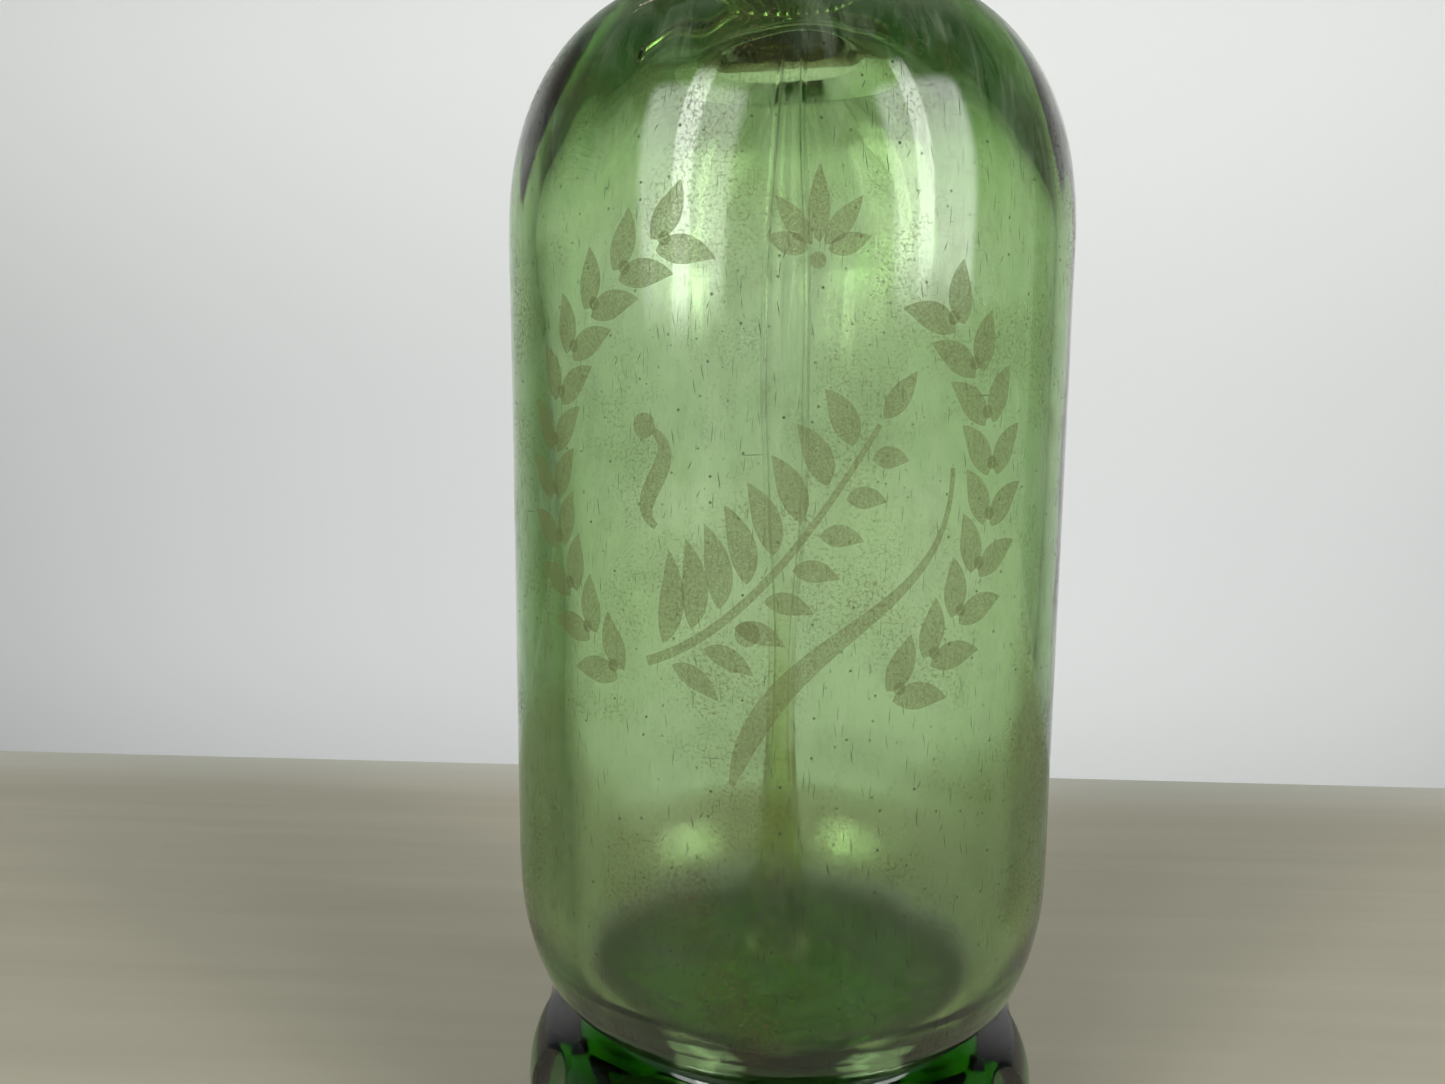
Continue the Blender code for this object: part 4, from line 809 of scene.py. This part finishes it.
collar_shape = spin_outline(collar_outline(), RIBS * 8, closed=True)
for vertex in collar_shape.verts:
    x, y, z = vertex.co
    radius = hypot(x, y)
    if radius > COLLAR_RADIUS - 0.3 and COLLAR_LOW + 4.7 < z < COLLAR_HIGH - 4.7:
        end = min((z - COLLAR_LOW - 4.7) / 1.6, (COLLAR_HIGH - 4.7 - z) / 1.6, 1.0)
        groove = 0.9 * end * abs(cos(atan2(y, x) * RIBS / 2)) ** 3
        shift_radius(vertex, radius, -groove)
collar = make_piece(collar_shape, "ribbed_collar", nickel, sharp=40)
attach(collar, "bottle")
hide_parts("collar_nut")


# --- Head casting ------------------------------------------------------------------------------
# Sand-cast brass, turned on its round parts and plated. A skirt and flange sit on the glass, a
# column holds the valve, a boss takes the spout and two ears carry the lever's pin. The parts
# run into each other with small cast fillets.
PIVOT = Vector((-12.1, 0.0, 293.634))
COLUMN_TOP_Z = 280.5
SPOUT_Z = 265.1
EAR_RADIUS = 4.6


def head_outline():
    """Outside of the casting from its top, then its bore from below."""
    points = [(6.4, COLUMN_TOP_Z)] + arc((12.3, COLUMN_TOP_Z - 1.2), 1.2, 90, 0, 4)
    points += [(13.5, 277.6), (12.8, 277.0), (12.8, 276.2), (13.5, 275.6), (13.5, 254.6),
               (12.9, 254.0), (12.9, 253.0), (13.5, 252.4), (13.5, 251.0)]
    points += arc((13.5, 249.1), 1.3, 70, -70, 6) + arc((18.5, 247.5), 5.0, 185, 262, 7)
    points += arc((18.9, 241.1), 1.4, 90, 0, 4) + [(20.3, 226.8), (17.4, 226.8), (17.4, 237.8)]
    points += [(10.1, 237.8), (10.1, 226.5), (7.6, 226.5), (7.6, 261.1), (5.5, 261.1)]
    return points + [(5.5, 269.1), (2.0, 269.1), (2.0, 271.5), (6.4, 271.5)]


def add_shape(target, source, place=Matrix()):
    """Moves a bmesh by a matrix and joins it to another one."""
    bmesh.ops.transform(source, matrix=place, verts=source.verts)
    mesh = bpy.data.meshes.new("part")
    source.to_mesh(mesh)
    target.from_mesh(mesh)
    source.free()
    bpy.data.meshes.remove(mesh)


def make_ear():
    """A lever ear in its own plane: a round eye with a hole, on a foot that sinks in the boss."""
    ear = bmesh.new()
    foot = SPOUT_Z + 2.0 - PIVOT.z
    outline = arc((0.0, 0.0), EAR_RADIUS, -4, 184, 20)
    outline += [(-EAR_RADIUS, foot), (6.6, foot), (6.2, -14.6), (EAR_RADIUS, -12.6)]
    edges = []
    for loop in (outline, arc((0.0, 0.0), 2.0, 0, 345, 23)):
        verts = [ear.verts.new((x, 0.0, z)) for x, z in loop]
        edges += [ear.edges.new(pair) for pair in zip(verts, verts[1:] + verts[:1])]
    bmesh.ops.triangle_fill(ear, use_beauty=True, edges=edges, normal=(0.0, 1.0, 0.0))
    bmesh.ops.solidify(ear, geom=ear.faces[:], thickness=3.0)
    low = min(vertex.co.y for vertex in ear.verts)
    bmesh.ops.translate(ear, vec=(0.0, -low, 0.0), verts=ear.verts)
    bmesh.ops.recalc_face_normals(ear, faces=ear.faces)
    return ear


casting_shape = spin_outline(head_outline(), 160, closed=True)
boss_outline = [(5.6, 20.0), (7.3, 20.0), (8.3, 19.2), (8.3, 17.6), (7.8, 17.1), (7.8, 16.2),
                (8.4, 14.6), (9.6, 12.6), (10.4, 11.4), (5.6, 10.0)]
add_shape(casting_shape, spin_outline(boss_outline, 72, closed=True),
          Matrix.Translation((0.0, 0.0, SPOUT_Z)) @ Matrix.Rotation(-pi / 2, 4, "Y"))
for low in (-7.3, 4.3):
    add_shape(casting_shape, make_ear(), Matrix.Translation(PIVOT + Vector((0.0, low, 0.0))))
casting = make_piece(casting_shape, "head_casting", nickel)
fillets = casting.modifiers.new("cast_fillets", "REMESH")
fillets.mode = "VOXEL"
fillets.voxel_size = 0.00045
fillets.use_smooth_shade = True
softened = casting.modifiers.new("worn_edges", "SMOOTH")
softened.factor = 0.5
softened.iterations = 3
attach(casting, "bottle")
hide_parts("head_body")


# --- Spout -------------------------------------------------------------------------------------
# Drawn brass tube, tapered and bent down, with a bead where it meets the boss and a turned rim
# at its mouth. It is plated with the head and has worn the same way.
def extrude_through(sides, places, closed, square=2.0):
    """A unit ring extruded through placing matrices, with its ends joined or capped."""
    shape = bmesh.new()
    ring = bmesh.ops.create_circle(shape, segments=sides, radius=1.0)["verts"]
    for vertex in ring:
        for axis in (0, 1):
            side = vertex.co[axis]
            vertex.co[axis] = abs(side) ** (2 / square) * (1 if side >= 0 else -1)
    first = edges = list(shape.edges)
    bmesh.ops.transform(shape, matrix=places[0], verts=ring)
    for before, after in zip(places, places[1:]):
        made = bmesh.ops.extrude_edge_only(shape, edges=edges)["geom"]
        ring = [item for item in made if isinstance(item, bmesh.types.BMVert)]
        inside = set(ring)
        edges = [edge for edge in shape.edges if edge.is_boundary and set(edge.verts) <= inside]
        bmesh.ops.transform(shape, matrix=after @ before.inverted(), verts=ring)
    if closed:
        bmesh.ops.bridge_loops(shape, edges=first + edges)
    else:
        bmesh.ops.holes_fill(shape, edges=[edge for edge in shape.edges if edge.is_boundary])
    bmesh.ops.recalc_face_normals(shape, faces=shape.faces)
    return shape


DOWN = radians(72)
BEND = 17.0
TAIL = 10.0
RUN = 56.0 - (4.8 + BEND) * sin(DOWN) - TAIL * cos(DOWN) - 15.3
SPOUT_LENGTH = RUN + BEND * DOWN + TAIL


def spout_place(s, radius):
    """Puts a unit ring square across the spout's centre line, s millimetres along it."""
    turn = min(max((s - RUN) / BEND, 0.0), DOWN)
    tail = max(s - RUN - BEND * DOWN, 0.0)
    x = -15.3 - min(s, RUN) - BEND * sin(turn) - tail * cos(turn)
    z = SPOUT_Z - BEND * (1 - cos(turn)) - tail * sin(turn)
    return (Matrix.Translation((x, 0.0, z)) @ Matrix.Rotation(-pi / 2 - turn, 4, "Y")
            @ Matrix.Diagonal((radius, radius, 1.0, 1.0)))


spout_walls = [(0.0, 5.2), (4.9, 5.2), (5.1, 6.1), (5.5, 6.4), (6.1, 6.4), (6.5, 6.1), (6.8, 5.2)]
for i in range(60):
    share = (i + 1) / 60
    spout_walls.append((6.8 + (SPOUT_LENGTH - 10.0) * share, 5.2 - 1.2 * smooth_step(share)))
spout_walls += [(SPOUT_LENGTH - 2.9, 4.5), (SPOUT_LENGTH - 2.5, 4.8), (SPOUT_LENGTH - 0.5, 4.8),
                (SPOUT_LENGTH - 0.1, 4.5), (SPOUT_LENGTH, 4.2), (SPOUT_LENGTH, 3.0),
                (SPOUT_LENGTH - 0.3, 2.6), (SPOUT_LENGTH - 1.0, 2.3)]
spout_walls += [((SPOUT_LENGTH - 1.0) * (1 - i / 40), 2.3) for i in range(1, 41)]
spout = make_piece(extrude_through(48, [spout_place(s, r) for s, r in spout_walls], True),
                   "spout_tube", nickel, sharp=40)
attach(spout, "bottle")
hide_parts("spout")


# --- Gland nut ---------------------------------------------------------------------------------
# Small hexagon nut on top of the column, turned with a chamfer at both ends; its barrel presses
# the packing round the stem. Plated, with spanner-rubbed corners.
def make_hexagon(outline, flats):
    """A turned shape whose sides are milled to a hexagon, so chamfers meet flats in curves."""
    shape = spin_outline(outline, 144, closed=True)
    for vertex in shape.verts:
        x, y, z = vertex.co
        turn = (atan2(y, x) + pi / 6) % (pi / 3) - pi / 6
        share = min(flats / 2 / cos(turn) / hypot(x, y), 1.0)
        vertex.co.x *= share
        vertex.co.y *= share
    return shape


gland_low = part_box("gland_nut")[0].z * 1000
gland_outline = [(2.0, 284.5), (6.5, 284.5), (7.1, 284.3), (7.8, 283.6), (7.8, 281.6), (7.1, 280.9),
                 (6.5, 280.8), (6.1, 280.8), (6.1, gland_low), (2.0, gland_low)]
gland = make_piece(make_hexagon(gland_outline, 13.4), "gland_hexagon", nickel, sharp=25)
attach(gland, "bottle")
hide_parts("gland_nut")


# --- Stem cap ----------------------------------------------------------------------------------
# Round button on the valve stem that the lever presses. Its edge is knurled for the fingers and
# its crown is polished by the lever's nub.
KNURLS = 30

cap_low, cap_high = [corner.z * 1000 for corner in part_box("stem_cap")]
socket_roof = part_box("valve_stem")[1].z * 1000 + 0.3
cap_outline = [(0.0, cap_high)] + arc((3.3, cap_high - 1.2), 1.2, 90, 0, 6)
cap_outline += [(4.5, cap_high - 1.8), (4.5, cap_low + 0.5), (4.1, cap_low), (1.9, cap_low),
                (1.9, socket_roof), (0.0, socket_roof)]
cap_shape = spin_outline(cap_outline, KNURLS * 6)
for vertex in cap_shape.verts:
    x, y, z = vertex.co
    radius = hypot(x, y)
    if radius > 4.3 and z < cap_high - 1.1:
        groove = 0.22 * abs(cos(atan2(y, x) * KNURLS / 2)) ** 2
        shift_radius(vertex, radius, -groove)
cap = make_piece(cap_shape, "knurled_cap", nickel, sharp=40)
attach(cap, "valve")
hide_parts("stem_cap")


# --- Lever -------------------------------------------------------------------------------------
# Cast brass thumb lever: an eye on the pin, a nub over the stem cap, a crest and a long tail
# that widens into a thumb pad with shallow grooves. Plated, and worn yellow on the pad.
def curve_at(points, x):
    """Value at x of a smooth curve through (x, value) points."""
    i = max(k for k in range(len(points) - 1) if k == 0 or points[k][0] <= x)
    (x0, y0), (x1, y1) = points[i], points[i + 1]
    before, after = points[max(i - 1, 0)], points[min(i + 2, len(points) - 1)]
    t = (x - x0) / (x1 - x0)
    leave = (y1 - before[1]) / (x1 - before[0]) * (x1 - x0)
    arrive = (after[1] - y0) / (after[0] - x0) * (x1 - x0)
    return (y0 + (y1 - y0) * t * t * (3 - 2 * t) + leave * t * (1 - t) ** 2
            - arrive * t * t * (1 - t))


LEVER_LENGTH = 68.1
EYE_RADIUS = 4.2
LEVER_TOP = [(-0.02, 0.6), (0.10, 0.98), (0.24, 1.24), (0.42, 1.05), (0.62, 0.30), (0.82, -0.62),
             (0.95, -1.22), (1.0, -1.60)]
LEVER_BOTTOM = [(0.04, -0.5), (0.14, 0.02), (0.28, 0.34), (0.42, 0.18), (0.62, -0.66),
                (0.82, -1.62), (0.96, -2.06), (1.0, -1.9)]
LEVER_HALF = [(0.03, 3.9), (0.12, 4.0), (0.24, 4.8), (0.40, 3.8), (0.62, 6.12), (0.80, 8.5),
              (0.93, 7.3), (0.985, 4.4), (1.0, 1.4)]


def lever_place(share):
    """Puts a unit ring across the lever, at a share of its length from the pin."""
    high = EYE_RADIUS * curve_at(LEVER_TOP, share)
    low = EYE_RADIUS * curve_at(LEVER_BOTTOM, share)
    pad = smooth_step((share - 0.6) / 0.06) * smooth_step((0.94 - share) / 0.06)
    high -= 0.45 * pad * (0.5 + 0.5 * cos(share * LEVER_LENGTH * tau / 3.2))
    centre = PIVOT + Vector((LEVER_LENGTH * share, 0.0, (low + high) / 2))
    across = Matrix(((0, 0, 1, 0), (1, 0, 0, 0), (0, 1, 0, 0), (0, 0, 0, 1)))
    return (Matrix.Translation(centre) @ across
            @ Matrix.Diagonal((curve_at(LEVER_HALF, share), (high - low) / 2, 1.0, 1.0)))


lever_shape = extrude_through(48, [lever_place(0.04 + 0.96 * i / 170) for i in range(171)], False,
                              3.2)
eye = spin_outline([(2.0, -4.0), (3.9, -4.0), (4.2, -3.7), (4.2, 3.7), (3.9, 4.0), (2.0, 4.0)],
                   64, closed=True)
add_shape(lever_shape, eye, Matrix.Translation(PIVOT) @ Matrix.Rotation(pi / 2, 4, "X"))
nub = spin_outline([(0.0, -3.6), (2.7, -3.6), (3.0, -3.3), (3.0, 3.3), (2.7, 3.6), (0.0, 3.6)], 48)
add_shape(lever_shape, nub,
          Matrix.Translation((0.0, 0.0, PIVOT.z + 1.3)) @ Matrix.Rotation(pi / 2, 4, "X"))
lever = make_piece(lever_shape, "thumb_lever", nickel)
blended = lever.modifiers.new("cast_fillets", "REMESH")
blended.mode = "VOXEL"
blended.voxel_size = 0.0004
blended.use_smooth_shade = True
eased_edges = lever.modifiers.new("worn_edges", "SMOOTH")
eased_edges.factor = 0.5
eased_edges.iterations = 2
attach(lever, "lever")
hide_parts("lever")


# --- Lever pin and nut -------------------------------------------------------------------------
# Slotted steel screw through both ears, with a domed head at the front and a small hexagon nut
# behind. Bare steel, satin, with brown rust in the slot and corners.
steel = make_metal("satin_steel", "#A9A8A5", "#77746F", "#4A3526", "#B9B7B2", (0.28, 0.45))
ALONG_PIN = Matrix.Translation(PIVOT) @ Matrix.Rotation(pi / 2, 4, "X")

pin_shape = bmesh.new()
add_shape(pin_shape, spin_outline([(0.0, 8.5), (3.3, 8.5), (3.3, 7.6), (1.7, 7.6), (1.7, -10.3),
                                   (1.4, -10.6), (0.0, -10.6)], 64), ALONG_PIN)
for side in (-1, 1):
    half = spin_outline([(0.0, 9.4)] + arc((2.4, 8.5), 0.9, 90, 0, 5) + [(3.3, 8.4), (0.0, 8.4)], 64)
    bmesh.ops.bisect_plane(half, geom=half.verts[:] + half.edges[:] + half.faces[:],
                           plane_co=(0.45 * side, 0.0, 0.0), plane_no=(-side, 0.0, 0.0),
                           clear_outer=True)
    bmesh.ops.holes_fill(half, edges=[edge for edge in half.edges if edge.is_boundary])
    bmesh.ops.recalc_face_normals(half, faces=half.faces)
    add_shape(pin_shape, half, ALONG_PIN @ Matrix.Rotation(radians(65), 4, "Z"))
pin = make_piece(pin_shape, "slotted_pin", steel, sharp=35)
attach(pin, "bottle")
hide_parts("lever_pin")

nut_outline = [(2.0, -7.6), (3.0, -7.6), (3.5, -7.9), (3.5, -9.7), (3.0, -10.0), (2.0, -10.0)]
pin_nut_shape = bmesh.new()
add_shape(pin_nut_shape, make_hexagon(nut_outline, 6.0), ALONG_PIN)
pin_nut = make_piece(pin_nut_shape, "hexagon_pin_nut", steel, sharp=25)
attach(pin_nut, "bottle")
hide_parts("lever_pin_nut")


# --- Pieces inside the head --------------------------------------------------------------------
# Turned brass valve parts and clamp rings, left bare and gone brown; a coiled steel spring;
# moulded rubber seals that have bloomed grey; and a washer of red pressed fibre. All keep the
# CAD shapes and only get their finishes; the spring is copied from its CAD mesh into a piece of its own.
brass = make_metal("aged_brass", "#B4965A", "#8A6C3C", "#3E3020", "#CDB27A", (0.26, 0.48))

rubber, tree, shader, output = new_material("bloomed_black_rubber")
place = add_node(tree, "ShaderNodeTexCoord").outputs["Object"]
bloom = add_node(tree, "ShaderNodeTexNoise", {"Vector": place, "Scale": 260.0, "Detail": 5.0})
grey = add_node(tree, "ShaderNodeMapRange", {"Value": bloom.outputs["Fac"], "From Min": 0.4,
                                             "From Max": 0.75, "To Max": 0.8})
tone = add_node(tree, "ShaderNodeMix", {"Factor": grey.outputs["Result"], "A": linear("#1D1C1B"),
                                        "B": linear("#4A4844")}, data_type="RGBA")
pores = add_node(tree, "ShaderNodeTexNoise", {"Vector": place, "Scale": 2200.0, "Detail": 2.0})
skin = add_node(tree, "ShaderNodeBump", {"Height": pores.outputs["Fac"], "Strength": 0.2,
                                         "Distance": 0.0001})
tree.links.new(tone.outputs["Result"], shader.inputs["Base Color"])
tree.links.new(skin.outputs["Normal"], shader.inputs["Normal"])
shader.inputs["Roughness"].default_value = 0.65

fibre, tree, shader, output = new_material("red_pressed_fibre")
place = add_node(tree, "ShaderNodeTexCoord").outputs["Object"]
layers = add_node(tree, "ShaderNodeMapping", {"Vector": place, "Scale": (1.0, 1.0, 6.0)})
fibres = add_node(tree, "ShaderNodeTexNoise", {"Vector": layers.outputs["Vector"], "Scale": 900.0,
                                               "Detail": 6.0, "Roughness": 0.7})
tone = add_node(tree, "ShaderNodeMix", {"Factor": fibres.outputs["Fac"], "A": linear("#5C2418"),
                                        "B": linear("#94462F")}, data_type="RGBA")
fuzz = add_node(tree, "ShaderNodeBump", {"Height": fibres.outputs["Fac"], "Strength": 0.35,
                                         "Distance": 0.0002})
tree.links.new(tone.outputs["Result"], shader.inputs["Base Color"])
tree.links.new(fuzz.outputs["Normal"], shader.inputs["Normal"])
shader.inputs["Roughness"].default_value = 0.85

for finish, names in ((brass, ("tube_nut", "split_ring_left", "split_ring_right", "valve_seat",
                               "gland_washer", "valve_stem", "valve_cup", "valve_nut")),
                      (rubber, ("mouth_gasket", "tube_bushing", "packing_ring", "valve_washer")),
                      (fibre, ("seat_gasket",))):
    for name in names:
        for material_slot in nodes[name].material_slots:
            material_slot.material = finish

# The spring stands on the tube nut.
spring_shape = bmesh.new()
spring_shape.from_mesh(nodes["return_spring"].data)
bmesh.ops.remove_doubles(spring_shape, verts=spring_shape.verts, dist=0.000001)
spring = make_piece(spring_shape, "coiled_return_spring", steel, unit=1.0)
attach(spring, "bottle")
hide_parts("return_spring")
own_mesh(spring)


size = {"cad": [list(corner) for corner in cad_box], "visual": [list(corner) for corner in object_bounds()]}
